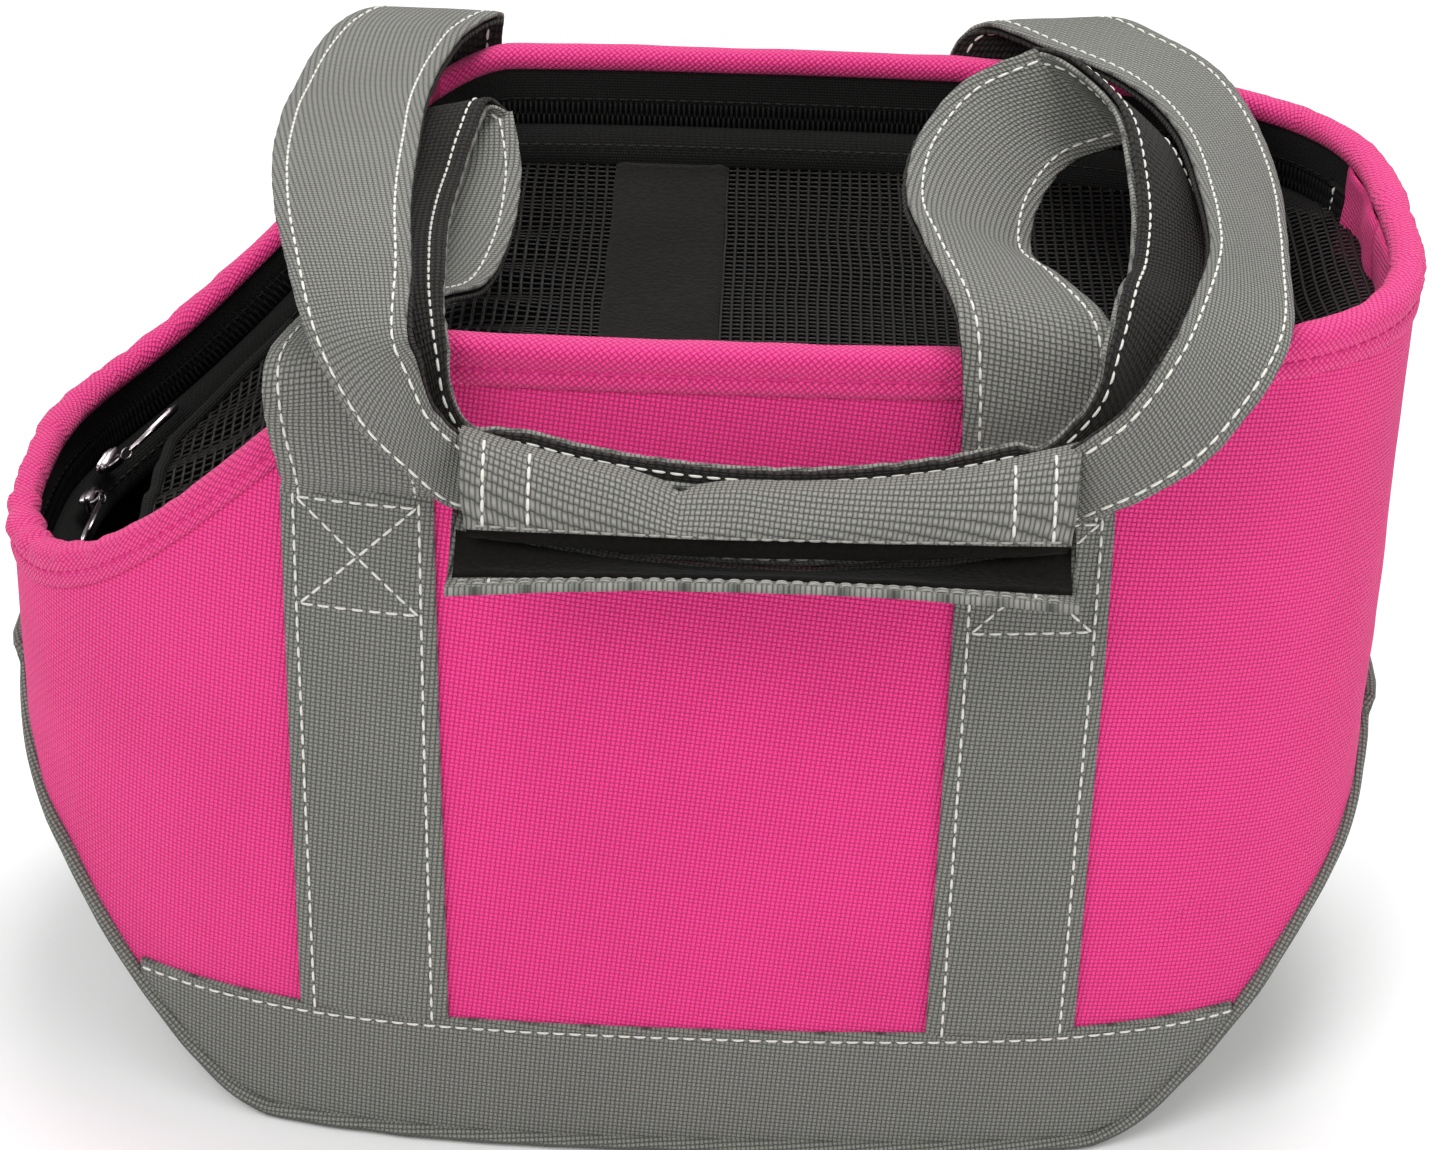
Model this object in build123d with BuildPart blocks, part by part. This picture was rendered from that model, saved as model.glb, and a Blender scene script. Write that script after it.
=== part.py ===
from build123d import *
import os
from math import cos, pi, sin

# Small fabric pet carrier tote, in millimetres.
# +X runs along the bag away from the low head end, +Y to the back, +Z up.
# The origin is the centre of the face that the bag stands on.

# ---- driving dimensions ----
half_length = 150.0  # half of the bag's length at the rim
half_width = 83.0  # half of the bag's width
head_power = 2.7  # roundness of the head end in plan, as a superellipse power
tail_power = 3.2  # roundness of the tail end in plan
rim_height = 193.0
head_drop = 70.0  # how much lower the rim is at the head end
slope_start_x = -47.0  # where the rim begins to fall towards the head end
slope_length = 105.0
slope_power = 0.9

wall = 3.0  # foam-backed fabric
overlay = 1.2  # one more layer of fabric sewn on a panel
rim_depth = 9.0  # height of the rolled rim
rim_thickness = 6.0
base_half = 80.0  # half length of the flat part of the base
gusset_top = 84.0  # where the end gussets close to nothing
band_top = 33.0  # top of the base band
band_margin = 3.5  # the band stops this far inside the panel's edge
piping_radius = 1.9
piping_lift = 0.7  # the cord's middle runs this much above its own radius

strap_width = 30.0
strap_x = (-65.5, 68.5)
strap_thickness = 1.6
cross_box_top = 160.0  # top of the stitched box on each strap
handle_layer = 1.4  # the handle is a fabric layer and a webbing layer
tape_inset = 3.3  # outer face of the zip tape, from the bag's outer face
tape_thickness = 0.8
coil_thickness = 1.8
tab_thickness = 1.6  # folded fabric over each zip end
zip_end_x = 136.0
zip_drop = 13.0  # top of the zip teeth below the rim
zip_chain = 6.6  # width of the closed teeth
cover_drop = 25.0  # mesh cover below the rim
cover_thickness = 1.4
cover_inset = 9.5  # edge of the mesh cover from the bag's outer face
binding_height = 6.0
binding_thickness = 2.4
keeper_ends = (-22.0, 4.0)  # band sewn across the middle of the mesh
flap_hinge_x = -88.0  # fold line of the head flap
flap_inset = 17.0  # the head flap keeps clear of the zip and its sliders as it swings
flap_end_x = -122.0
flap_gap = 0.8  # from the fold line to the mesh on each side of it
flap_binding_gap = 7.0  # the flap's binding starts this far from the fold line
flap_gap_at_pull = 6.0  # and stops short of the flap's end, clear of the zip pull
cover_tail_x = 136.0  # the mesh ends here, short of the tail wall

board_thickness = 2.5
pad_thickness = 8.0
inside_floor = wall + 0.3

# The wrapped grip is an arc: its middle hangs lower than its two ends.
grip_x = 15.0
grip_y = -103.0
grip_low_z = 166.0
grip_arc_radius = 168.0
grip_half_angle = 19.8
strap_half_angle = 22.0  # the straps reach out of the wrap at both ends
fold_height = 14.0  # the straps are folded to this height inside the grip

TALL = 260.0


def finish(piece, name):
    piece.part.label = name
    export_step(piece.part, "parts/" + name + ".step")


# ---- outlines ----
def rim_z(x):
    """Height of the rim's top edge at x."""
    t = min(max((slope_start_x - x) / slope_length, 0.0), 1.0) ** slope_power
    return rim_height - head_drop * t * t * (3 - 2 * t)


def plan_point(angle, inset=0.0):
    """A point of the bag's plan outline, moved inwards by inset."""
    c, s = cos(angle), sin(angle)
    power = 2 / (tail_power if c > 0 else head_power)
    x = (half_length - inset) * abs(c) ** power * (1 if c > 0 else -1)
    y = (half_width - inset) * abs(s) ** power * (1 if s > 0 else -1)
    return (x, y)


def plan_face(inset):
    """The filled plan outline: two quarter curves and their mirror images."""
    steps = 8
    tangents = [((0, 1), (-1, 0)), ((-1, 0), (0, -1))]
    with BuildSketch() as outline:
        with BuildLine():
            for quarter, ends in enumerate(tangents):
                angles = [(quarter + i / steps) * pi / 2 for i in range(steps + 1)]
                Spline(*[plan_point(a, inset) for a in angles], tangents=ends)
            mirror(about=Plane.XZ)
        make_face()
    return outline.sketch


def plan_ring(outer_inset, inner_inset):
    """The plan area between two insets."""
    return plan_face(outer_inset) - plan_face(inner_inset)


def end_curve(side, inset):
    """Half of the U-shaped edge of a panel, seen from the front, from the base up."""
    points = [
        (base_half, inset),
        (99 - 0.55 * inset, 6 + 0.83 * inset),
        (121 - 0.84 * inset, 30 + 0.54 * inset),
        (135 - 0.82 * inset, 50 + 0.57 * inset),
        (145 - 0.88 * inset, 64 + 0.47 * inset),
        (half_length + 0.5 - inset, gusset_top),
    ]
    return Spline(*[(side * x, z) for x, z in points], tangents=((side, 0), (0, 1)))


def rim_points(drop):
    """Points of the rim line, lowered by drop, from the slope's start to the head end."""
    count = 8
    end_x = -half_length - 4
    xs = [slope_start_x + (end_x - slope_start_x) * i / count for i in range(count + 1)]
    return [(x, rim_z(x) - drop) for x in xs]


def elevation_face(inset, rim_drop):
    """The bag seen from the front: U-shaped below, its rim line above."""
    reach = half_length + 0.5 - inset
    far = half_length + 4
    top = rim_height - rim_drop
    with BuildSketch(Plane.XZ) as outline:
        with BuildLine():
            Line((-base_half, inset), (base_half, inset))
            end_curve(1, inset)
            Polyline((reach, gusset_top), (far, gusset_top + 2), (far, top), (slope_start_x, top))
            Spline(*rim_points(rim_drop), tangents=((-1, 0), (-1, -0.2)))
            Polyline((-far, rim_z(-far) - rim_drop), (-far, gusset_top + 2), (-reach, gusset_top))
            end_curve(-1, inset)
        make_face()
    return outline.sketch


def rim_band(upper_drop, lower_drop, start_x, end_x):
    """A band that follows the rim line, between two depths below it and two values of x."""
    far = half_length + 4
    with BuildSketch(Plane.XZ) as band:
        for drop, mode in ((upper_drop, Mode.ADD), (lower_drop, Mode.SUBTRACT)):
            with BuildLine():
                Line((far, rim_height - drop), (slope_start_x, rim_height - drop))
                Spline(*rim_points(drop), tangents=((-1, 0), (-1, -0.2)))
                Polyline((-far, rim_z(-far) - drop), (-far, 0), (far, 0), (far, rim_height - drop))
            make_face(mode=mode)
        with Locations(((start_x + end_x) / 2, TALL / 2)):
            Rectangle(end_x - start_x, TALL, mode=Mode.INTERSECT)
    return band.sketch


def upright(face, height=TALL):
    """A solid of the given plan, private to the caller."""
    return extrude(face, amount=height, mode=Mode.PRIVATE)


def across(face):
    """A solid of the given elevation, as deep as the whole bag."""
    return extrude(face, amount=TALL / 2, both=True, mode=Mode.PRIVATE)


def block(x0, x1, y0, y1, z0, z1):
    """A box given by its limits."""
    size = (x1 - x0, y1 - y0, z1 - z0)
    middle = ((x0 + x1) / 2, (y0 + y1) / 2, (z0 + z1) / 2)
    return Pos(*middle) * Box(*size, mode=Mode.PRIVATE)


def side_block(side, x0=-TALL, x1=TALL, z0=-1.0, z1=TALL):
    """Everything on one side of the bag: side is -1 for the front and 1 for the back."""
    y0, y1 = (0, TALL) if side > 0 else (-TALL, 0)
    return block(x0, x1, y0, y1, z0, z1)


os.makedirs("parts", exist_ok=True)
full_plan = upright(plan_face(0))
full_body = full_plan & across(elevation_face(0, 0))
band_zone = upright(plan_face(-overlay), band_top) & across(elevation_face(band_margin, 0))


# ---- shell: two panels, the gusset between them, the rim, bands and piping ----
def build_panel(name, side):
    with BuildPart() as panel:
        add(upright(plan_ring(0, wall)))
        add(across(elevation_face(0, rim_depth)), mode=Mode.INTERSECT)
        add(side_block(side), mode=Mode.INTERSECT)
    finish(panel, name)


def build_gusset():
    with BuildPart() as gusset:
        add(across(elevation_face(0, 0)))
        add(across(elevation_face(wall, -TALL / 4)), mode=Mode.SUBTRACT)
        add(upright(plan_face(wall)), mode=Mode.INTERSECT)
        add(block(-TALL, TALL, -TALL, TALL, -1, gusset_top), mode=Mode.INTERSECT)
    finish(gusset, "gusset")


def build_rim_hem():
    with BuildPart() as hem:
        add(upright(plan_ring(0, rim_thickness)))
        add(across(rim_band(0, rim_depth, -TALL, TALL)), mode=Mode.INTERSECT)
    finish(hem, "rim_hem")


def build_base_band(name, side):
    with BuildPart() as band:
        add(band_zone)
        add(full_plan, mode=Mode.SUBTRACT)
        add(side_block(side), mode=Mode.INTERSECT)
    finish(band, name)


def piping_point(x, z):
    """The middle of the back piping where the panel's edge passes x, z."""
    outset = 1.0
    reach = half_length + outset
    power = tail_power if x > 0 else head_power
    share = min(abs(x) / reach, 1.0)
    y = (half_width + outset) * (1 - share**power) ** (1 / power)
    return (x, y, max(z, piping_radius + piping_lift))


def build_piping():
    """The cord sewn round a panel's edge. The front one mirrors the back one."""
    stops = (0.97, 0.85, 0.7, 0.55, 0.4, 0.25, 0.1)
    with BuildLine():
        edge = end_curve(1, 0)
    corners = [edge @ t for t in stops]
    points = [piping_point(-corner.X, corner.Y) for corner in corners]
    points += [piping_point(x, 0) for x in (-55, 0, 55)]
    points += [piping_point(corner.X, corner.Y) for corner in reversed(corners)]
    with BuildPart() as back:
        with BuildLine() as path:
            Spline(*points)
        with BuildSketch(Plane(path.line @ 0, z_dir=path.line % 0)):
            Circle(piping_radius)
        sweep()
        add(full_body, mode=Mode.SUBTRACT)
        add(band_zone, mode=Mode.SUBTRACT)
        add(block(-TALL, TALL, -TALL, TALL, 0, TALL), mode=Mode.INTERSECT)
    finish(back, "piping_back")
    with BuildPart() as front:
        add(mirror(back.part, about=Plane.XZ, mode=Mode.PRIVATE))
    finish(front, "piping_front")


# ---- straps sewn on the panels ----
def build_strap(name, side, middle_x, top):
    half = strap_width / 2
    with BuildPart() as strap:
        add(upright(plan_ring(-strap_thickness, 0)))
        add(side_block(side, middle_x - half, middle_x + half, band_top + 0.1, top), mode=Mode.INTERSECT)
    finish(strap, name)


# ---- zip and mesh cover under the rim ----
def build_rim_strip(name, insets, drops, ends):
    """A strip that hugs the inside of the wall and follows the rim line."""
    with BuildPart() as strip:
        add(upright(plan_ring(*insets)))
        add(across(rim_band(*drops, *ends)), mode=Mode.INTERSECT)
    finish(strip, name)


def build_cover_sheet(name, inset, ends):
    """A flat piece of the mesh cover, which follows the rim line."""
    with BuildPart() as sheet:
        add(upright(plan_face(inset)))
        add(across(rim_band(cover_drop, cover_drop + cover_thickness, *ends)), mode=Mode.INTERSECT)
    finish(sheet, name)


def build_cover():
    teeth_top = zip_drop
    tape_top = rim_depth + 0.1
    outer = (tape_inset, tape_inset + tape_thickness)
    teeth = (outer[1], outer[1] + coil_thickness)
    build_rim_strip("zip_tape", outer, (tape_top, teeth_top + zip_chain), (-TALL, zip_end_x))
    build_rim_strip("zip_teeth", teeth, (teeth_top, teeth_top + zip_chain), (-TALL, zip_end_x - 4))
    edge = (cover_inset, cover_inset + binding_thickness)
    below = (cover_drop - binding_height, cover_drop - 0.1)
    body_ends = (flap_hinge_x + flap_gap, cover_tail_x)
    build_rim_strip("cover_binding", edge, below, body_ends)
    build_cover_sheet("mesh_cover", cover_inset, body_ends)
    flap_edge = (flap_inset, flap_inset + binding_thickness)
    flap_binding_ends = (flap_end_x + flap_gap_at_pull, flap_hinge_x - flap_binding_gap)
    build_rim_strip("head_flap_binding", flap_edge, below, flap_binding_ends)
    build_cover_sheet("head_flap_mesh", flap_inset, (flap_end_x, flap_hinge_x - flap_gap))
    with BuildPart() as keeper:
        add(upright(plan_face(cover_inset + binding_thickness + 0.6)))
        add(across(rim_band(cover_drop - 1.2, cover_drop - 0.1, *keeper_ends)), mode=Mode.INTERSECT)
    finish(keeper, "mesh_keeper_band")


def build_zip_end_tabs():
    with BuildPart() as tabs:
        add(upright(plan_ring(tape_inset, tape_inset + tab_thickness)))
        add(across(rim_band(rim_depth + 2, zip_drop + zip_chain + 2, 137, 143)), mode=Mode.INTERSECT)
    finish(tabs, "zip_end_tabs")


# ---- zip sliders and their pulls ----
slider_size = (5.4, 9.5, 2.2)  # across the zip, along it, thick
slider_frames = {
    # name: middle of the slider, the way it travels, the way its face looks
    "back": ((-137.6, 26.0, 108.0), (0.42, 0.9, 0.15), (0.8, -0.37, 0.47)),
    "front": ((-139.2, 9.0, 107.0), (-0.03, -1.0, 0.0), (0.88, -0.03, 0.47)),
}
bridge_height = 1.6
pull_gap = 0.6
pull_length = 24.0
pull_width = 4.6
pull_thickness = 1.1


def slider_plane(which, lift=0.0):
    """The plane of a slider's face. Its x runs along the zip, and lift moves it off the zip."""
    middle, travel, face = slider_frames[which]
    along = Vector(*travel).normalized()
    outwards = Vector(*face) - along * Vector(*face).dot(along)
    return Plane(Vector(*middle) + outwards.normalized() * lift, x_dir=along, z_dir=outwards)


def build_slider(which):
    across_zip, along, thick = slider_size
    with BuildPart() as slider:
        with BuildSketch(slider_plane(which)):
            Trapezoid(along, across_zip, 78)
        extrude(amount=thick)
        with BuildSketch(slider_plane(which, thick)):
            Rectangle(along * 0.55, 1.8)
        extrude(amount=bridge_height)
    finish(slider, "zip_slider_" + which)


def build_pull(which):
    lift = slider_size[2] + bridge_height + pull_gap
    end = pull_width / 2
    with BuildPart() as pull:
        with BuildSketch(slider_plane(which, lift)):
            with BuildLine():
                Polyline((1, 1.2), (pull_length, end), (pull_length, -end), (1, -1.2), close=True)
            make_face()
            with Locations((pull_length - 3.2, 0)):
                Circle(1.2, mode=Mode.SUBTRACT)
        extrude(amount=pull_thickness)
    finish(pull, "zip_pull_" + which)


# ---- handles ----
# A station of a strap is its middle, and the half-width vector from its left edge to its right.
back_left = [
    ((-64, 85, 198), (15, 0, 0)),
    ((-72, 65, 200), (15, -1, 0)),
    ((-75, 22, 203), (15, -1, 1)),
    ((-73, -22, 208), (15, -2, 1)),
    ((-70, -55, 209.5), (14, -4, 1)),
    ((-66, -79, 207.5), (13, -7, 2)),
    ((-62, -99, 202), (10, -7, 4)),
    ((-56, -106, 193), (6, -3, 8)),
    ((-50.5, -106.5, 184), (3, -1, 7)),
    ((-46.6, -105.2, 177.7), (2.6, 0, 6.5)),
]
back_right = [
    ((78, 85, 200), (15, 0, 1)),
    ((90, 70, 201), (14, 4, 0)),
    ((104, 48, 201), (12, 8, -2)),
    ((111, 18, 200), (11, 9, -5)),
    ((112, -14, 200), (10, 9, -5)),
    ((110, -47, 201.5), (9, 8, -4)),
    ((105, -80, 201), (9, -3, -4)),
    ((95, -99, 194), (5, -3, -9)),
    ((84, -106, 185), (3, -1, -8)),
    ((76.6, -105.2, 177.7), (2.6, 0, -6.5)),
]
front_left_out = [
    ((-66, -84, 161), (15, 0, 0)),
    ((-67, -87, 177), (15, 0, 1)),
    ((-68, -86, 188), (14, 0, 4.5)),
    ((-67, -79, 192), (14, 0, 4.5)),
    ((-63, -62, 190), (14, 0, 2.5)),
    ((-58, -42, 185), (15, 1, 1)),
    ((-55, -16, 185), (15, 2, 0)),
    ((-55, 12, 187.5), (15, 2, 0)),
    ((-56, 27, 191), (14, 2, 1)),
]
front_left_back = [
    ((-62, 29, 196), (14, 1, 3)),
    ((-64, 13, 195), (14, 1, 2)),
    ((-65, -6, 194), (14, 1, 1.5)),
    ((-65, -36, 196), (14, 1, 2)),
    ((-63, -64, 198.5), (14, 1, 2)),
    ((-59, -81, 198.4), (11, 2, 2)),
    ((-53, -95, 193), (7, 1, 5)),
    ((-49, -99, 184), (4, 0, 6.5)),
    ((-46.6, -99.4, 177.7), (2.6, 0, 6.5)),
]
front_right_out = [
    ((68, -85, 161), (15, 0, 0)),
    ((67, -88, 186), (15, 0, -1)),
    ((65, -81, 200), (15, 2, -2)),
    ((58, -58, 202), (14, 2, -5)),
    ((54, -38, 201), (13, 2, -7)),
    ((57, -14, 203), (13, 0, -7)),
    ((66, 4, 207), (12, -2, -8)),
    ((76, 10, 210), (11, -3, -9)),
]
front_right_back = [
    ((87, 6, 211), (11, -2, -9)),
    ((94, -12, 208), (8.5, 4, -10)),
    ((96, -36, 202), (9, 8, -8)),
    ((94, -60, 201), (9, 5, -5)),
    ((90, -80, 201.5), (8, -1, -6)),
    ((83, -94, 194), (4, 0, -9)),
    ((79, -99, 185), (3, 0, -8)),
    ((76.6, -99.4, 177.7), (2.6, 0, -6.5)),
]


def strap_solid(stations, offset, thickness):
    """One layer of a strap through its stations, shifted off the strap's middle by offset."""
    middles = [Vector(*middle) for middle, half in stations]
    last = len(middles) - 1
    with BuildPart() as layer:
        for i, (middle, half) in enumerate(stations):
            width = Vector(*half).normalized()
            along = middles[min(i + 1, last)] - middles[max(i - 1, 0)]
            frame = Plane(middle, x_dir=width, z_dir=along - width * along.dot(width))
            with BuildSketch(frame):
                with Locations((0, offset)):
                    Rectangle(2 * Vector(*half).length, thickness)
        loft(ruled=True)
    return layer.part


def grip_arc(outline, half_angle=grip_half_angle):
    """Sweeps a cross-section, given in y and z about the grip's middle, along the grip's arc."""
    centre = Vector(grip_x, 0, grip_low_z + grip_arc_radius)
    axis = Axis(centre, (0, 1, 0))
    start = Plane.YZ.offset(grip_x)
    with BuildPart() as arc:
        with BuildSketch(start):
            with BuildLine():
                Polyline(*[(grip_y + y, grip_low_z + z) for y, z in outline], close=True)
            make_face()
        revolve(axis=axis, revolution_arc=2 * half_angle)
    return arc.part.rotate(axis, -half_angle)


def build_handle(name, legs, middle_y, offset):
    """One layer of a handle: its two legs and the stretch folded inside the grip."""
    low, high = middle_y, middle_y + handle_layer
    half = fold_height / 2
    with BuildPart() as handle:
        for stations, side in legs:
            add(strap_solid(stations, side * offset, handle_layer))
        add(grip_arc([(low, -half), (high, -half), (high, half), (low, half)], strap_half_angle))
    finish(handle, name)


def build_leg(name, stations):
    with BuildPart() as leg:
        add(strap_solid(stations, 0, 2 * handle_layer))
    finish(leg, name)


# ---- grip wrap: a spine behind the straps, and two flaps that close over them ----
def build_grip():
    spine = [(0.3, -9), (1.7, -9), (1.7, 7.5), (0.3, 7.5)]
    upper = [(1.7, 7.8), (1.7, 9.2), (-4, 9.2), (-8.5, 6), (-9.5, -1), (-8.3, -1), (-7.5, 5.4), (-3.6, 7.8)]
    loop = [(-6.8, -0.8), (-5.8, -0.8), (-5.2, 4.6), (-6.2, 4.6)]
    lower = [(1.7, -9.9), (1.7, -11.1), (-18, -6.6), (-18, -5.4)]
    hook = [(-5, -8.2), (-5, -7.2), (-17.5, -4.3), (-17.5, -5.3)]
    pieces = {
        "grip_spine": spine,
        "grip_upper_flap": upper,
        "grip_loop_strip": loop,
        "grip_lower_flap": lower,
        "grip_hook_strip": hook,
    }
    for name, outline in pieces.items():
        with BuildPart() as piece:
            add(grip_arc(outline))
        finish(piece, name)


# ---- floor ----
def build_floor():
    """A stiff board and, on it, a pad. Both follow the walls and stop where the base curves up."""
    board_half, pad_half = 78.0, 86.0
    pad_low = inside_floor + board_thickness + 0.3
    layers = (
        ("base_board", board_half, inside_floor, board_thickness),
        ("floor_pad", pad_half, pad_low, pad_thickness),
    )
    for name, half, low, thickness in layers:
        with BuildPart() as layer:
            add(upright(plan_face(wall + 3)))
            add(block(-half, half, -TALL, TALL, low, low + thickness), mode=Mode.INTERSECT)
        finish(layer, name)


build_panel("front_panel", -1)
build_panel("back_panel", 1)
build_gusset()
build_rim_hem()
build_base_band("base_band_front", -1)
build_base_band("base_band_back", 1)
build_piping()
for side_name, strap_side, strap_top in (("front", -1, cross_box_top), ("back", 1, 192.0)):
    build_strap(side_name + "_strap_left", strap_side, strap_x[0], strap_top)
    build_strap(side_name + "_strap_right", strap_side, strap_x[1], strap_top)
build_cover()
build_zip_end_tabs()
for which in slider_frames:
    build_slider(which)
    build_pull(which)
half_layer = handle_layer / 2 + 0.15
back_legs = ((back_left, 1), (back_right, 1))
front_legs = ((front_left_back, -1), (front_right_back, -1))
build_handle("back_handle_face", back_legs, -3.8, half_layer)
build_handle("back_handle_webbing", back_legs, -2.1, -half_layer)
build_handle("front_handle_webbing", front_legs, 2.1, -half_layer)
build_handle("front_handle_face", front_legs, 3.8, half_layer)
build_leg("front_handle_leg_left", front_left_out)
build_leg("front_handle_leg_right", front_right_out)
build_grip()
build_floor()
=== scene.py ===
from bisect import bisect_right
from math import ceil, cos, pi, radians, sin, sqrt

import bmesh
import bpy
from mathutils import Matrix, Vector, noise


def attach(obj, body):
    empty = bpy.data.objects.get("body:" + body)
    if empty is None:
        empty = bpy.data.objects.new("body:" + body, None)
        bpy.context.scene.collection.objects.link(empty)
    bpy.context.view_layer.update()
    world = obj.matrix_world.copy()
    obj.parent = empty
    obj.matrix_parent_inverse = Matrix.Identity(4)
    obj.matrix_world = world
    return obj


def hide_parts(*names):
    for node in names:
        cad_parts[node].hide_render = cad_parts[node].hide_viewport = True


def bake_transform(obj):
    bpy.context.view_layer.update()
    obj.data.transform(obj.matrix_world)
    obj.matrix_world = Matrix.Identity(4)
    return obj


# A small fabric pet carrier tote. Lengths are in millimetres until a mesh is made.
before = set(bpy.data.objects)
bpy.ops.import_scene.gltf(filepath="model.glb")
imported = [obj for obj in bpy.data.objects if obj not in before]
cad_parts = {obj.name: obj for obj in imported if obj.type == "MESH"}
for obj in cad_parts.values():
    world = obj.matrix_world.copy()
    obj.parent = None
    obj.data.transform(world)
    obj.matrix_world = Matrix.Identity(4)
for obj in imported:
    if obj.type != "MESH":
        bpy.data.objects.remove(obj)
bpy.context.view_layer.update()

MM = 0.001
UP = Vector((0, 0, 1))

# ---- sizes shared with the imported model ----
# The plan's half sizes, and the powers that square off its two ends.
HALF_LENGTH, HALF_WIDTH = 150.0, 83.0
HEAD_POWER, TAIL_POWER = 2.7, 3.2
# The rim is level, and slopes down to the head end at -X.
RIM_HEIGHT, HEAD_DROP = 193.0, 70.0
SLOPE_START, SLOPE_LENGTH, SLOPE_POWER = -47.0, 105.0, 0.9
# Where the gusset leaves the floor, and how high it rises on the end walls.
BASE_HALF, GUSSET_TOP = 80.0, 84.0
BAND_TOP, BAND_MARGIN = 33.0, 3.5
# The straps on the walls, and the crossed box of stitching at the top of each.
STRAP_X, STRAP_HALF = (-65.5, 68.5), 15.0
BOX_TOP, BOX_LOW = 160.0, 133.0
# The net lies this far below the rim and ends here. The head flap's hinge and free edge are at -X.
COVER_DROP, NET_TAIL = 25.7, 146.5
FLAP_HINGE, FLAP_END = -88.0, -122.0
# Middle of the grip, and the radius of its arc.
GRIP_X, GRIP_Y, GRIP_Z, GRIP_RADIUS = 15.0, -103.0, 166.0, 168.0
# The panel's lower edge at the tail, as (x, z). The head end mirrors it.
END_CURVE = [(80, 0), (99, 6), (121, 30), (135, 50), (145, 64), (150.5, 84)]

# ---- sizes of the cloth and the thread ----
STITCH_PITCH, STITCH_LENGTH = 3.5, 2.6
# One stitch as (share of its length, size, lift in radii). Both ends dip into the cloth.
STITCH_SHAPE = ((0, 0.35, -0.4), (0.16, 0.9, 0.16), (0.5, 1, 0.352), (0.84, 0.9, 0.16), (1, 0.35, -0.4))
# A loose strap is two layers sewn together. Its seams run at this share of its half width.
LAYER_THICKNESS, LAYER_OFFSET, SEAM_LIFT, SEAM_SHARE = 1.4, 0.85, 1.5, 0.78
# The facing, the outer cloth turned in, covers this stretch below the rim. It and the lining lie
# this deep inside the wall.
FACING_TOP, FACING_LOW = 4.6, 27.0
LINING_DEPTH = 3.0
SIDES = (("front", -1), ("back", 1))


# ---- outlines ----
def smooth(t):
    """A soft step from 0 to 1."""
    t = min(max(t, 0.0), 1.0)
    return t * t * (3 - 2 * t)


def drift(a, b, c):
    """Smooth noise at a place, the same on every run."""
    return noise.noise(Vector((a, b, c)))


def rim_z(x):
    """Height of the rim at x."""
    t = min(max((SLOPE_START - x) / SLOPE_LENGTH, 0.0), 1.0) ** SLOPE_POWER
    return RIM_HEIGHT - HEAD_DROP * t * t * (3 - 2 * t)


def catmull(points, steps):
    """Points along a smooth curve through the given ones, with so many steps between each two."""
    out = []
    last = len(points) - 1
    for i in range(last):
        p0, p1 = points[max(i - 1, 0)], points[i]
        p2, p3 = points[i + 1], points[min(i + 2, last)]
        for k in range(steps):
            t = k / steps
            a = p1 * 2 + (p2 - p0) * t
            b = (p0 * 2 - p1 * 5 + p2 * 4 - p3) * t * t
            c = (p1 * 3 - p0 - p2 * 3 + p3) * t * t * t
            out.append((a + b + c) * 0.5)
    out.append(points[-1].copy())
    return out


def run_lengths(points):
    """How far along the line each of its points lies."""
    lengths = [0.0]
    for a, b in zip(points, points[1:]):
        lengths.append(lengths[-1] + (b - a).length)
    return lengths


def resample(points, step):
    """The same line with evenly spaced points."""
    lengths = run_lengths(points)
    count = max(2, int(ceil(lengths[-1] / step)))
    out, k = [], 0
    for i in range(count + 1):
        want = lengths[-1] * i / count
        while k < len(points) - 2 and lengths[k + 1] < want:
            k += 1
        span = max(lengths[k + 1] - lengths[k], 1e-9)
        out.append(points[k].lerp(points[k + 1], (want - lengths[k]) / span))
    return out


def plan_point(angle, inset=0.0):
    """A point of the plan. Angle 0 is the middle of the tail end."""
    c, s = cos(angle), sin(angle)
    power = 2 / (TAIL_POWER if c > 0 else HEAD_POWER)
    x = (HALF_LENGTH - inset) * abs(c) ** power * (1 if c > 0 else -1)
    y = (HALF_WIDTH - inset) * abs(s) ** power * (1 if s > 0 else -1)
    return Vector((x, y, 0.0))


def plan_half(x, inset=0.0):
    """Half of the plan's width at x."""
    power = TAIL_POWER if x > 0 else HEAD_POWER
    share = min(abs(x) / (HALF_LENGTH - inset), 1.0)
    return (HALF_WIDTH - inset) * (1 - share**power) ** (1 / power)


def plan_line(side, step=2.0):
    """Plan points of one side from the head end to the tail end: side -1 is the front."""
    count = 900
    raw = [plan_point(pi - side * pi * i / count) for i in range(count + 1)]
    return resample(raw, step)


def wall_plan(x, side):
    """The plan point of one side at x."""
    return Vector((x, side * plan_half(x), 0.0))


END_LINE = resample(catmull([Vector((x, z, 0)) for x, z in END_CURVE], 24), 0.8)


def low_z(x):
    """Height of the panel's lower edge at x."""
    reach = abs(x)
    if reach <= BASE_HALF:
        return 0.0
    for a, b in zip(END_LINE, END_LINE[1:]):
        if b.x >= reach:
            return a.y + (b.y - a.y) * (reach - a.x) / max(b.x - a.x, 1e-6)
    return GUSSET_TOP


def front_crease(x, z):
    """Depth of the two short creases in the front wall near the tail."""
    depth = 0.0
    for middle, height, reach in ((108, 60, 16), (103, 55, 12)):
        line = height - 0.08 * (x - middle)
        depth -= 0.55 * max(0.0, 1 - abs(x - middle) / reach) * max(0.0, 1 - abs(z - line) / 1.3)
    return depth


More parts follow.
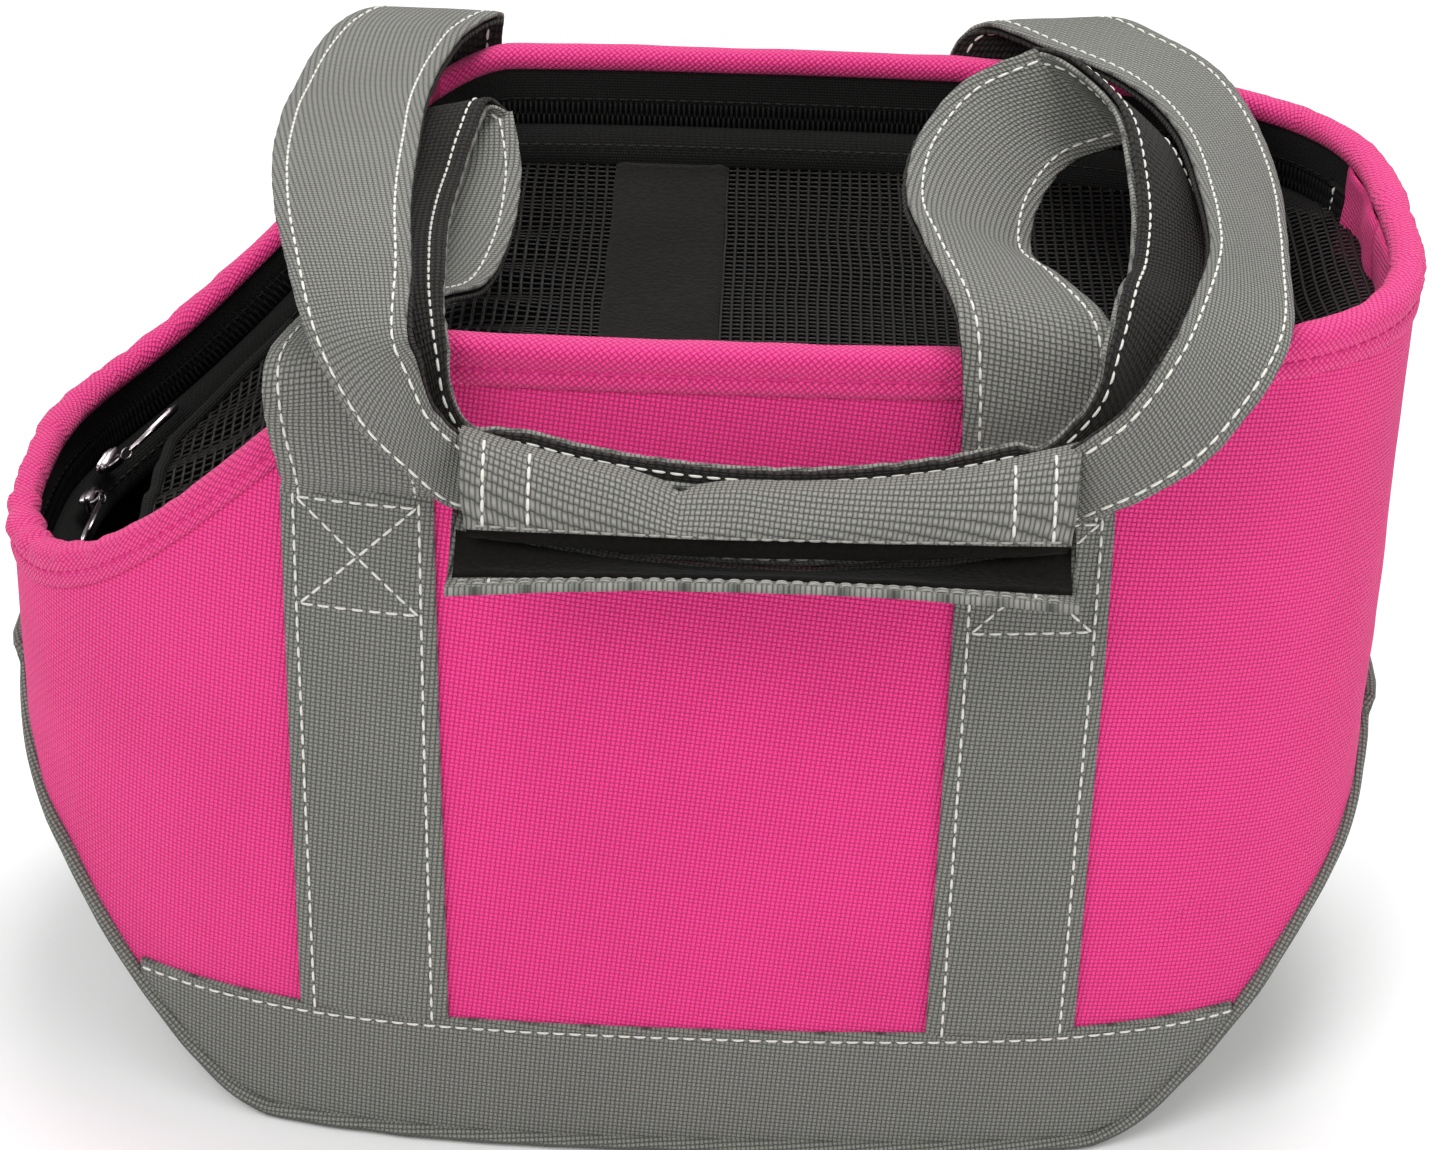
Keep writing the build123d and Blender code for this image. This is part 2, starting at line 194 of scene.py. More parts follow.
def bulge(x, y, z):
    """How far the soft wall stands out of its plan."""
    top = max(rim_z(x), 60.0)
    share = min(max((z - 4) / (top - 9), 0.0), 1.0)
    swell = 1.3 * sin(pi * share) * (1 - min(abs(x) / HALF_LENGTH, 1.0) ** 3)
    soft = 0.9 * drift(x * 0.018, z * 0.022, 3.1 if y < 0 else 9.7)
    fine = 0.25 * drift(x * 0.06, z * 0.07, y * 0.02)
    fine += 0.5 * smooth((abs(x) - 118) / 20) * drift(y * 0.11, z * 0.05, x * 0.02)
    return swell + (soft + fine) * sin(pi * share) + (0.0 if y > 0 else front_crease(x, z))


def outward(p):
    """Level direction straight out of the wall at a plan point."""
    power = TAIL_POWER if p.x > 0 else HEAD_POWER
    nx = abs(p.x / HALF_LENGTH) ** (power - 1) / HALF_LENGTH * (1 if p.x > 0 else -1)
    ny = abs(p.y / HALF_WIDTH) ** (power - 1) / HALF_WIDTH * (1 if p.y > 0 else -1)
    return Vector((nx, ny, 0.0)).normalized()


def skin(p, z, out=0.0):
    """A point of the wall over the plan point p at height z, standing out by out."""
    d = outward(p) * (out + bulge(p.x, p.y, z))
    return Vector((p.x + d.x, p.y + d.y, z))


def under_rim(p, inset, drop):
    """A point so far inside the plan point p and so far below the rim."""
    d = outward(p) * -inset
    return Vector((p.x + d.x, p.y + d.y, rim_z(p.x) - drop))


# ---- meshes ----
def add_object(name, mesh, material):
    """Put a mesh in the scene, smooth, with its one material."""
    mesh.materials.append(material)
    mesh.polygons.foreach_set("use_smooth", [True] * len(mesh.polygons))
    mesh.update()
    obj = bpy.data.objects.new(name, mesh)
    bpy.context.scene.collection.objects.link(obj)
    return obj


def make(name, verts, faces, uvs, material, body=None):
    """An object from points in millimetres, with a UV for each point."""
    mesh = bpy.data.meshes.new(name)
    mesh.from_pydata([tuple(c * MM for c in v) for v in verts], [], faces)
    layer = mesh.uv_layers.new(name="UVMap")
    flat = []
    for loop in mesh.loops:
        flat.extend(uvs[loop.vertex_index])
    layer.data.foreach_set("uv", flat)
    obj = add_object(name, mesh, material)
    if body:
        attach(obj, body)
    return obj


def grid_faces(rows, columns, close_rows=False, close_columns=False, start=0):
    """Four-sided faces between neighbours in a grid of points."""
    faces = []
    for i in range(rows if close_rows else rows - 1):
        for j in range(columns if close_columns else columns - 1):
            a = start + i * columns + j
            b = start + i * columns + (j + 1) % columns
            c = start + ((i + 1) % rows) * columns + (j + 1) % columns
            d = start + ((i + 1) % rows) * columns + j
            faces.append((a, b, c, d))
    return faces


def capped_faces(rings, sides, start=0):
    """Faces over rings of points, with a cap on each end."""
    end = start + (rings - 1) * sides
    caps = [tuple(range(start, start + sides)), tuple(reversed(range(end, end + sides)))]
    return grid_faces(rings, sides, close_columns=True, start=start) + caps


def length_uvs(rows, guide):
    """UVs in millimetres: along each row, and from row to row at the guide column."""
    uvs, v = [], 0.0
    for i, row in enumerate(rows):
        if i:
            v += (row[guide] - rows[i - 1][guide]).length
        uvs += [(u, v) for u in run_lengths(row)]
    return uvs


def grid(name, rows, material, body=None, thickness=0.0, flip=False, uvs=None):
    """A sheet from rows of points. Its UVs are lengths, unless they are given."""
    columns = len(rows[0])
    verts = [p for row in rows for p in row]
    faces = grid_faces(len(rows), columns)
    if flip:
        faces = [tuple(reversed(f)) for f in faces]
    obj = make(name, verts, faces, uvs or length_uvs(rows, columns // 2), material, body)
    if thickness:
        mod = obj.modifiers.new("thickness", "SOLIDIFY")
        mod.thickness = thickness * MM
        mod.offset = -1
    return obj


def closed_sweep(name, rings, material, body=None, loop=False, uvs=None):
    """A closed skin over rings of points, capped at its ends unless it closes on itself."""
    sides = len(rings[0])
    verts = [p for ring in rings for p in ring]
    if loop:
        faces = grid_faces(len(rings), sides, close_rows=True, close_columns=True)
    else:
        faces = capped_faces(len(rings), sides)
    return make(name, verts, faces, uvs or length_uvs(rings, 0), material, body)


def frames_along(points):
    """Each point with two directions square to the line: a level one, and one up from it."""
    out = []
    last = len(points) - 1
    for i, p in enumerate(points):
        along = (points[min(i + 1, last)] - points[max(i - 1, 0)]).normalized()
        across = along.cross(UP)
        if across.length < 1e-4:
            across = Vector((1, 0, 0))
        across.normalize()
        out.append((p, across, across.cross(along).normalized()))
    return out


def oval(centre, first, second, sides, phase=0.0):
    """Points round an oval with the given half-axes."""
    turns = [2 * pi * (j + phase) / sides for j in range(sides)]
    return [centre + first * cos(t) + second * sin(t) for t in turns]


def tube(name, points, radius, material, body=None, sides=10, wobble=0.0, loop=False):
    """A round bar along a line of points."""
    rings = []
    for p, across, lift in frames_along(points):
        r = radius * (1 + wobble * noise.noise(p * 0.11))
        rings.append(oval(p, across * r, lift * r, sides))
    return closed_sweep(name, rings, material, body, loop)


def seam_point(line, lengths, want):
    """Point and direction out of the cloth at a distance along a seam."""
    k = min(max(bisect_right(lengths, want) - 1, 0), len(lengths) - 2)
    t = (want - lengths[k]) / max(lengths[k + 1] - lengths[k], 1e-9)
    (a, out_a), (b, out_b) = line[k], line[k + 1]
    return a.lerp(b, t), out_a.lerp(out_b, t).normalized()


def stitches(name, lines, material, body=None, length=STITCH_LENGTH, pitch=STITCH_PITCH, radius=0.31):
    """Rows of thread. Each line is a list of (point, direction out of the cloth)."""
    verts, faces, uvs = [], [], []
    sides = 6
    for number, line in enumerate(lines):
        lengths = run_lengths([p for p, _ in line])
        count = int((lengths[-1] - length) / pitch) + 1
        for i in range(max(count, 0)):
            begin = i * pitch + 0.3 + 0.25 * drift(i * 1.7, number * 3.1, 0.5)
            centres = []
            for share, size, lift in STITCH_SHAPE:
                want = min(max(begin + share * length, 0.0), lengths[-1])
                p, out = seam_point(line, lengths, want)
                centres.append((p + out * (lift * radius), out, size))
            along = (centres[-1][0] - centres[0][0]).normalized()
            faces += capped_faces(len(centres), sides, len(verts))
            for p, out, size in centres:
                side = along.cross(out).normalized()
                verts += oval(p, side * (radius * size), out * (radius * 0.8 * size), sides)
                uvs += [(j / sides, i + j / sides) for j in range(sides)]
    return make(name, verts, faces, uvs, material, body)


# ---- materials ----
def node(tree, kind, **values):
    """A new shader node with some of its settings."""
    made = tree.nodes.new(kind)
    for key, value in values.items():
        setattr(made, key, value)
    return made


def math_node(tree, operation, a, b=None):
    """The result of a sum on numbers or sockets."""
    made = node(tree, "ShaderNodeMath", operation=operation)
    for i, value in enumerate((a, b)):
        if value is None:
            continue
        if isinstance(value, (int, float)):
            made.inputs[i].default_value = value
        else:
            tree.links.new(value, made.inputs[i])
    return made.outputs[0]


def new_material(name, roughness, sheen=0.0, metallic=0.0):
    """A material with its node tree and its shader."""
    mat = bpy.data.materials.new(name)
    mat.use_nodes = True
    tree = mat.node_tree
    shader = tree.nodes["Principled BSDF"]
    values = {"Roughness": roughness, "Metallic": metallic, "Specular IOR Level": 0.2}
    values.update({"Sheen Weight": sheen, "Sheen Roughness": 0.5})
    for key, value in values.items():
        shader.inputs[key].default_value = value
    return mat, tree, shader


def noise_texture(tree, vector, scale, detail=2):
    """Soft random values at a place."""
    made = node(tree, "ShaderNodeTexNoise")
    made.inputs["Scale"].default_value = scale
    made.inputs["Detail"].default_value = detail
    tree.links.new(vector, made.inputs["Vector"])
    return made.outputs[0]


def uv_axes(tree, angle):
    """The two UV directions turned by an angle, and both as one vector."""
    coords = node(tree, "ShaderNodeUVMap", uv_map="UVMap")
    turn = node(tree, "ShaderNodeMapping")
    turn.inputs["Rotation"].default_value = (0, 0, angle)
    split = node(tree, "ShaderNodeSeparateXYZ")
    tree.links.new(coords.outputs[0], turn.inputs[0])
    tree.links.new(turn.outputs[0], split.inputs[0])
    return split.outputs[0], split.outputs[1], turn.outputs[0]


def weave(tree, u, v, pitch_u, pitch_v):
    """Height of a plain weave: at each crossing one thread lies over the other."""
    su = math_node(tree, "SINE", math_node(tree, "MULTIPLY", u, pi / pitch_u))
    sv = math_node(tree, "SINE", math_node(tree, "MULTIPLY", v, pi / pitch_v))
    over = math_node(tree, "GREATER_THAN", math_node(tree, "MULTIPLY", su, sv), 0.0)
    au, av = math_node(tree, "ABSOLUTE", su), math_node(tree, "ABSOLUTE", sv)
    one = math_node(tree, "MULTIPLY", au, math_node(tree, "POWER", av, 0.3))
    two = math_node(tree, "MULTIPLY", math_node(tree, "POWER", au, 0.3), av)
    first = math_node(tree, "MULTIPLY", one, over)
    second = math_node(tree, "MULTIPLY", two, math_node(tree, "SUBTRACT", 1.0, over))
    return math_node(tree, "ADD", first, math_node(tree, "MULTIPLY", second, 0.86))


def tone(tree, height, gap_shade_and_dark_speck, lit_top_and_light_speck, variation, scale):
    """Colour between the gaps and the tops of the threads, with slow changes over the cloth. On cloth the
    gaps are painted shade and the tops painted light; on plain materials the two colours are specks.
    """
    ramp = node(tree, "ShaderNodeMix", data_type="RGBA")
    ramp.inputs[6].default_value = (*gap_shade_and_dark_speck, 1)
    ramp.inputs[7].default_value = (*lit_top_and_light_speck, 1)
    tree.links.new(height, ramp.inputs[0])
    place = node(tree, "ShaderNodeTexCoord").outputs["Object"]
    level = node(tree, "ShaderNodeMapRange")
    for i, value in enumerate((0.25, 0.75, 1 - variation, 1 + variation), 1):
        level.inputs[i].default_value = value
    tree.links.new(noise_texture(tree, place, scale, 4), level.inputs[0])
    scaled = node(tree, "ShaderNodeMix", data_type="RGBA", blend_type="MULTIPLY")
    scaled.inputs[0].default_value = 1
    tree.links.new(ramp.outputs[2], scaled.inputs[6])
    tree.links.new(level.outputs[0], scaled.inputs[7])
    return scaled.outputs[2]


def bump(tree, shader, height, strength, distance):
    """Relief on a shader from a height."""
    made = node(tree, "ShaderNodeBump")
    made.inputs["Strength"].default_value = strength
    made.inputs["Distance"].default_value = distance
    tree.links.new(height, made.inputs["Height"])
    tree.links.new(made.outputs[0], shader.inputs["Normal"])


def cloth(
    name, gap_shade_and_dark_speck, lit_top_and_light_speck, pitch=(1.0, 1.0), angle=0.0, roughness=0.8, sheen=0.1, depth=0.0004, variation=0.06
):
    """Woven cloth with threads at a pitch in millimetres. Its colour is painted shade in the gaps between the
    threads and painted light on the threads' tops.
    """
    mat, tree, shader = new_material(name, roughness, sheen)
    u, v, turned = uv_axes(tree, angle)
    height = math_node(tree, "POWER", weave(tree, u, v, *pitch), 0.8)
    fuzz = noise_texture(tree, turned, 2.4)
    worn = math_node(tree, "ADD", height, math_node(tree, "MULTIPLY", fuzz, 0.35))
    # The weave's height also sets the colour: painted shade in the gaps, painted light on the thread tops.
    tree.links.new(tone(tree, height, gap_shade_and_dark_speck, lit_top_and_light_speck, variation, 28.0), shader.inputs["Base Color"])
    bump(tree, shader, worn, 0.9, depth)
    return mat


def plain(name, gap_shade_and_dark_speck, lit_top_and_light_speck, roughness, grain, depth, metallic=0.0, variation=0.05, sheen=0.0):
    """A material with a fine grain instead of a weave."""
    mat, tree, shader = new_material(name, roughness, sheen, metallic)
    place = node(tree, "ShaderNodeTexCoord").outputs["Object"]
    speck = noise_texture(tree, place, grain, 3)
    tree.links.new(tone(tree, speck, gap_shade_and_dark_speck, lit_top_and_light_speck, variation, 40.0), shader.inputs["Base Color"])
    bump(tree, shader, speck, 0.5, depth)
    return mat


# Each cloth's two colours are painted shade for the gaps between the threads and painted light for their
# tops.
PINK = cloth("pink_cloth", (0.42, 0.006, 0.09), (1.0, 0.05, 0.31), angle=0.12)
PINK_HEM = cloth("pink_hem_cloth", (0.42, 0.008, 0.1), (0.96, 0.06, 0.3), angle=0.7, sheen=0.12)
GRAY = cloth("gray_cloth", (0.035, 0.036, 0.032), (0.25, 0.253, 0.226), angle=0.08)
# The gray cloth again, a little lighter: painted light on the handles and the grip, while the wall straps
# keep the darker GRAY.
LIT_GRAY_STRAP = cloth(
    "lit_gray_strap_cloth", (0.035, 0.035, 0.032), (0.27, 0.268, 0.243), pitch=(1.15, 1.0), angle=0.12
)
BLACK = cloth(
    "black_lining", (0.004, 0.004, 0.0035), (0.013, 0.012, 0.011), (0.7, 0.7), roughness=0.85, sheen=0.02
)
WEBBING = cloth(
    "black_webbing", (0.0008, 0.0008, 0.0007), (0.03, 0.026, 0.023), (1.2, 1.8),
    variation=0.3, roughness=0.75, sheen=0.03, depth=0.0009,
)
# The pad's own colour is not known: near-black charcoal here is painted shade for the inside seen through the
# net.
PAD = cloth(
    "pad_cloth", (0.012, 0.012, 0.011), (0.035, 0.034, 0.032), (0.88, 0.88), roughness=0.85, sheen=0.03
)
# Black thread with random specks; the lighter specks are brightened as painted glints on the threads.
NET = plain("black_net", (0.003, 0.003, 0.003), (0.03, 0.028, 0.026), 0.4, 900.0, 0.0001)
COIL = plain("zip_coil", (0.006, 0.006, 0.006), (0.022, 0.021, 0.02), 0.38, 1400.0, 0.00005)
HOOKS = plain(
    "hook_and_loop", (0.0005, 0.0005, 0.0005), (0.012, 0.01, 0.008), 0.97, 900.0, 0.0012,
    sheen=0.03, variation=0.35,
)
METAL = plain("nickel_plate", (0.16, 0.14, 0.145), (0.4, 0.35, 0.37), 0.3, 300.0, 0.00003, metallic=1.0)
THREAD = plain("white_thread", (0.5, 0.49, 0.45), (0.78, 0.77, 0.72), 0.7, 1500.0, 0.0001)
PINK_THREAD = plain("pink_thread", (0.42, 0.01, 0.11), (0.72, 0.04, 0.25), 0.6, 1500.0, 0.0001)
GRAY_THREAD = plain("gray_thread", (0.18, 0.17, 0.16), (0.42, 0.41, 0.38), 0.7, 1500.0, 0.0001)
BLACK_THREAD = plain("black_thread", (0.008, 0.008, 0.008), (0.03, 0.03, 0.028), 0.6, 1500.0, 0.0001)
BOARD = plain("base_board", (0.02, 0.02, 0.02), (0.05, 0.05, 0.05), 0.5, 500.0, 0.0001)


# ---- shell ----
def build_panel(name, side, cad):
    """A long wall of outer cloth, from the seam with the gusset up to the rim."""
    line = plan_line(side)
    lengths = run_lengths(line)
    rows, uvs = [], []
    count = 64
    for k in range(count + 1):
        row = []
        for p, length in zip(line, lengths):
            low, high = low_z(p.x), rim_z(p.x) - 2.0
            z = low + (high - low) * k / count
            row.append(skin(p, z))
            uvs.append((length, z))
        rows.append(row)
    obj = grid(name, rows, PINK, "shell", thickness=1.4, flip=side > 0, uvs=uvs)
    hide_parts(cad)


def facing_fold(p, k):
    """How far the loose facing stands off the wall in its row k. It buckles at the tail end."""
    return smooth((p.x - 145.6) / 2.2) * (2.9 + 1.6 * drift(p.y * 0.09, k * 0.35, p.x * 0.03))


def facing_rows(line, count=8):
    """Rows of the facing, from its low edge up."""
    rows = []
    for k in range(count + 1):
        drop = FACING_LOW - (FACING_LOW - FACING_TOP) * k / count
        rows.append([skin(p, rim_z(p.x) - drop, -LINING_DEPTH - facing_fold(p, k)) for p in line])
    return rows


def lining_rows(line, count=40):
    """Rows of the lining, from the floor up to just behind the facing."""
    rows = []
    for k in range(count + 1):
        row = []
        for p in line:
            low, top = low_z(p.x) + 2.0, rim_z(p.x) - FACING_LOW + 0.5
            row.append(skin(p, low + (top - low) * k / count, -LINING_DEPTH))
        rows.append(row)
    return rows


def build_lining():
    """The inner face: the outer cloth turned in at the top, black cloth below the mesh."""
    for name, side in SIDES:
        line = plan_line(side, 3.0)
        facing = grid("wall_facing_" + name, facing_rows(line), PINK, "shell", thickness=0.5, flip=side < 0)
        # The lining is black cloth, kept near-black partly as painted shade for the inside seen through the
        # net.
        lining = grid("wall_lining_" + name, lining_rows(line), BLACK, "shell", thickness=0.5, flip=side < 0)


def edge_line(step):
    """The seam between the panels and the gusset seen from the front, from the head end to the tail."""
    tail = [Vector((p.x, 0, p.y)) for p in END_LINE]
    head = [Vector((-p.x, 0, p.z)) for p in reversed(tail)]
    flat = [Vector((x, 0, 0)) for x in range(-76, 80, 4)]
    return resample(head + flat + tail, step)


def edge_path(side):
    """The cord of the piping. Its ends turn in towards the middle of the end walls."""
    reach, out = 149.4, 1.0
    points = []
    for p in edge_line(2.5):
        y = side * (plan_half(min(max(p.x, -reach), reach)) + out)
        points.append(Vector((p.x, y, max(p.z, 2.0))))
    turns = []
    for end in (points[0], points[-1]):
        x = end.x + (0.9 if end.x > 0 else -0.9)
        turns.append([Vector((x, end.y * t, end.z + 1.6 * (1 - t))) for t in (0.75, 0.5, 0.25, 0.0)])
    return turns[0][::-1] + points + turns[1]


def build_gusset():
    """The strip under the bag and up its ends, slightly slack between the pipings."""
    rows = []
    for p in edge_line(3.0):
        wide = plan_half(min(max(p.x, -149.7), 149.7)) + 0.4
        push = max(0.0, abs(p.x) - BASE_HALF) / 70
        row = []
        for j in range(41):
            t = -1 + j / 20
            sag = 0.9 * drift(p.x * 0.03, t * 2.0, p.z * 0.03) * (1 - t * t)
            out = 1.2 * (1 - t * t) * push + sag * push
            row.append(Vector((p.x + out * (1 if p.x > 0 else -1), wide * t, max(p.z - out * 0.4, 0.15))))
        rows.append(row)
    obj = grid("end_and_base_gusset", rows, GRAY, "shell", thickness=1.6, flip=True)
    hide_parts("gusset")


def build_piping():
    """The covered cord in each seam between a panel and the gusset."""
    for name, side in SIDES:
        obj = tube("edge_piping_" + name, edge_path(side), 1.75, GRAY, "shell", sides=12, wobble=0.12)
        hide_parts("piping_" + name)


def build_band(name, side, cad):
    """The base band, as a profile of (out of the wall, share of its height) with a groove near its top."""
    line = [p for p in plan_line(side, 1.5) if low_z(p.x) + BAND_MARGIN < BAND_TOP - 1.5]
    lengths = run_lengths(line)
    profile = (
        (0.05, 0.0), (0.9, 0.0), (1.15, 0.03), (1.2, 0.2), (1.2, 0.4), (1.2, 0.6), (1.2, 0.8), (1.15, 0.9),
        (0.85, 0.935), (1.2, 0.97), (1.0, 1.0), (0.05, 1.0),
    )
    rows, uvs = [], []
    for out, share in profile:
        row = []
        for p, length in zip(line, lengths):
            low = low_z(p.x) + BAND_MARGIN * (0.4 if abs(p.x) < BASE_HALF else 0.55)
            z = low + (BAND_TOP - low) * share
            row.append(skin(p, z, out))
            uvs.append((length, z))
        rows.append(row)
    obj = grid(name, rows, GRAY, "shell", flip=side > 0, uvs=uvs)
    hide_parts(cad)
    seam = [(skin(p, BAND_TOP - 2.0, 1.15), outward(p)) for p in line]
    stitches(name + "_stitching", [seam], THREAD, "shell")


def hem_profile(spot):
    """Cross-section of the rolled rim over a plan point, as (out of the plan, up from the rim's top)."""
    tight = smooth((abs(spot.x) - 60) / 70) if spot.x < 0 else smooth((spot.x - 95) / 40) * 0.5
    p = 0.45 * drift(spot.x * 0.1, spot.y * 0.1, 1.5)
    p += 1.2 * tight * drift(spot.x * 0.19, spot.y * 0.19, 7.7)
    p += 0.6 * tight * drift(spot.x * 0.42, spot.y * 0.42, 3.1)
    return (
        (0.15, -9.2), (0.75, -9.0), (0.85 + p * 0.3, -7.2), (0.55, -5.9), (0.5, -5.3), (0.95 + p * 0.4, -4.2),
        (1.1 + p, -2.4), (0.6 + p, -0.8), (-0.6, p * 0.6), (-2.4, 0.3 + p * 0.8), (-4.2, 0.1 + p * 0.6),
        (-5.4 - p, -0.8), (-6.0 - p, -2.0), (-6.0 - p * 0.6, -3.2), (-5.6, -4.3), (-4.6, -5.0),
        (-3.4, -5.4), (-2.4, -9.2),
    )


def build_hem():
    """The rolled rim. Its loop of rings starts at the back left strap."""
    loop = plan_line(-1)[:-1] + list(reversed(plan_line(1)))[:-1]
    strap = Vector((STRAP_X[0], 80.0, 0))
    start = min(range(len(loop)), key=lambda k: (loop[k] - strap).length)
    loop = loop[start:] + loop[:start]
    rings, uvs = [], []
    for p, run in zip(loop, run_lengths(loop)):
        wall = bulge(p.x, p.y, rim_z(p.x) - 4)
        section = hem_profile(p)
        rings.append([under_rim(p, -out - wall * (1 if out > -2 else 0.8), -up) for out, up in section])
        uvs += [(girth, run) for girth in run_lengths([Vector((out, up, 0)) for out, up in section])]
    obj = closed_sweep("rolled_rim", rings, PINK_HEM, "shell", loop=True, uvs=uvs)
    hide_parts("rim_hem")
    seam = []
    for p in loop + loop[:1]:
        seam.append((under_rim(p, -0.5 - bulge(p.x, p.y, rim_z(p.x) - 5), 5.6), outward(p)))
    thread = stitches("rim_stitching", [seam], PINK_THREAD, "shell", radius=0.34, length=2.4, pitch=3.2)


# ---- straps ----
def smooth_stations(stations, steps=12):
    """A strap's path through its stations, each a middle point and half of its width."""
    middles = catmull([Vector(middle) for middle, _ in stations], steps)
    halves = catmull([Vector(half) for _, half in stations], steps)
    return list(zip(middles, halves))


def ribbon_frames(path):
    """A list of (middle, half-width vector, direction out of the face, distance run) at each point."""
    out, run = [], 0.0
    last = len(path) - 1
    for i, (middle, half) in enumerate(path):
        along = (path[min(i + 1, last)][0] - path[max(i - 1, 0)][0]).normalized()
        if i:
            run += (middle - path[i - 1][0]).length
        out.append((middle, half, along.cross(half).normalized(), run))
    return out


def strap_bend(half, s, run, seed, curl):
    """How far a strap stands out at a share of its half width: slow waves, and edges that curl."""
    narrow = max(0.0, 1 - half.length / STRAP_HALF)
    return 0.35 * drift(run * 0.05, s * 1.3, seed) - curl * (s * s) * (0.6 + 2.4 * narrow)


def ribbon(name, frames, offset, material, body, curl, seed):
    """One layer of a strap, closed all round, with a groove along each row of stitching."""
    shares = [-1, -0.97, -0.9, -0.78, -0.7, -0.45, -0.15, 0.15, 0.45, 0.7, 0.78, 0.9, 0.97, 1]
    rings, uvs = [], []
    for middle, half, out, run in frames:
        ring = []
        for level in (1, -1):
            for s in shares if level > 0 else reversed(shares):
                edge = max(0.0, (abs(s) - 0.9) / 0.1)
                seam = 0.16 * max(0.0, 1 - abs(abs(s) - SEAM_SHARE) / 0.09)
                face = level * (LAYER_THICKNESS / 2 * (1 - 0.45 * edge) - seam)
                ruffle = 0.3 * edge * drift(run * 0.3, s * 5, seed + 4)
                stand = offset + face + strap_bend(half, s, run, seed, curl)
                ring.append(middle + half * s + out * stand + half.normalized() * ruffle)
                uvs.append((s * STRAP_HALF, run))
        rings.append(ring)
    return closed_sweep(name, rings, material, body, uvs=uvs)


def seam_lines(frames, curl, seed):
    """The two seams of a strap, on one face and then on the other."""
    lines = []
    for face in (1, -1):
        for s in (-SEAM_SHARE, SEAM_SHARE):
            line = []
            for middle, half, out, run in frames:
                stand = face * SEAM_LIFT + strap_bend(half, s, run, seed, curl)
                line.append((middle + half * s + out * stand, out * face))
            lines.append(line)
    return lines


def sewn_strap(name, stations, layers, cad, curl, seed, fold=None):
    """Two layers of strap sewn together. Layers and cad say each one's offset and CAD node."""
    frames = ribbon_frames(smooth_stations(stations))
    body = None if fold else "handles"
    for tint, offset in layers.items():
        material, slot = STRAP_CLOTHS[tint]
        obj = ribbon(name + "_" + tint, frames, offset, material, body, curl, seed)
        if fold:
            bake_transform(obj)
        if tint in cad:
            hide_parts(cad[tint])
    thread = stitches(name + "_stitching", seam_lines(frames, curl, seed), THREAD, body)
    if fold:
        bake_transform(thread)


def build_wall_strap(name, x, side, cad):
    """A strap sewn flat on the wall, with a crossed box of stitching at its top."""
    count, stand, margin = 60, 1.75, 0.8
    low, high = BAND_TOP - 1.5, BOX_TOP
    shares = [-1, -1, -0.97, -0.88, -0.78, -0.7, -0.35, 0, 0.35, 0.7, 0.78, 0.88, 0.97, 1, 1]
    rows, uvs = [], []
    for i in range(count + 1):
        z = low + (high - low) * i / count
        row = []
        for j, s in enumerate(shares):
            px = x + STRAP_HALF * s * (1.06 - 0.04 * i / count)
            seam = 0.25 * max(0.0, 1 - abs(abs(s) - SEAM_SHARE) / 0.09)
            out = stand - seam - 0.5 * max(0.0, (abs(s) - 0.9) / 0.1)
            out += 0.25 * drift(px * 0.08, z * 0.04, side)
            if j in (0, len(shares) - 1) or i in (0, count):
                out = 0.1
            row.append(skin(wall_plan(px, side), z, out))
            uvs.append((s * STRAP_HALF, z))
        rows.append(row)
    obj = grid(name, rows, GRAY, "shell", flip=side > 0, uvs=uvs)
    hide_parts(cad)

    def straight(start, end, steps):
        """A seam on the strap's face between two points, each (x, z)."""
        line = []
        for i in range(steps + 1):
            t = i / steps
            p = wall_plan(start[0] + (end[0] - start[0]) * t, side)
            line.append((skin(p, start[1] + (end[1] - start[1]) * t, stand), outward(p)))
        return line

    left, right, top = x - STRAP_HALF * margin, x + STRAP_HALF * margin, high - 3
    lines = []
    for s in (-margin, margin):
        edge = x + STRAP_HALF * s * 1.05
        lines.append(straight((edge, low + 1), (edge, high), 80))
    lines += [straight((left, z), (right, z), 16) for z in (BOX_LOW, top)]
    lines += [straight((left, a), (right, b), 16) for a, b in ((BOX_LOW, top), (top, BOX_LOW))]
    stitches(name + "_stitching", lines, THREAD, "shell")


# The stations of each handle's ends, as (middle, half of the width), from the wall to the grip.
BACK_LEFT = [
    ((-65.5, 77.4, 154), (15, 1.3, 0)), ((-65.5, 79.9, 160), (15, 1.3, 0)),
    ((-65.4, 82.8, 165.5), (15, 1.2, 0)), ((-65.3, 85.2, 178), (15, 0, 0)), ((-65, 87.2, 191), (15, 0, 0)),
    ((-65, 85, 198), (15, 0, 0)), ((-72, 65, 200), (15, -1, 0)), ((-75, 22, 203), (15, -1, 1)),
    ((-73, -22, 208), (15, -2, 1)), ((-70, -55, 209.5), (14, -4, 1)), ((-66, -79, 207.5), (13, -7, 2)),
    ((-62, -99, 202), (10, -7, 4)), ((-56, -106, 193), (6, -3, 8)), ((-50.5, -106.5, 184), (3, -1, 7)),
]
BACK_RIGHT = [
    ((68.5, 78.8, 154), (15, -1.0, 0)), ((68.5, 81.2, 160), (15, -1.0, 0)),
    ((68.6, 83.8, 165.5), (15, -0.9, 0)), ((68.8, 85.4, 178), (15, 0, 0)), ((71, 87.2, 192), (15, 0, 0)),
    ((78, 85, 200), (15, 0, 1)), ((90, 70, 201), (14, 4, 0)), ((104, 48, 201), (12, 8, -2)),
    ((111, 18, 200), (11, 9, -5)), ((112, -14, 200), (10, 9, -5)), ((110, -47, 201.5), (9, 8, -4)),
    ((105, -80, 201), (9, -3, -4)), ((95, -99, 194), (5, -3, -9)), ((84, -106, 185), (3, -1, -8)),
]
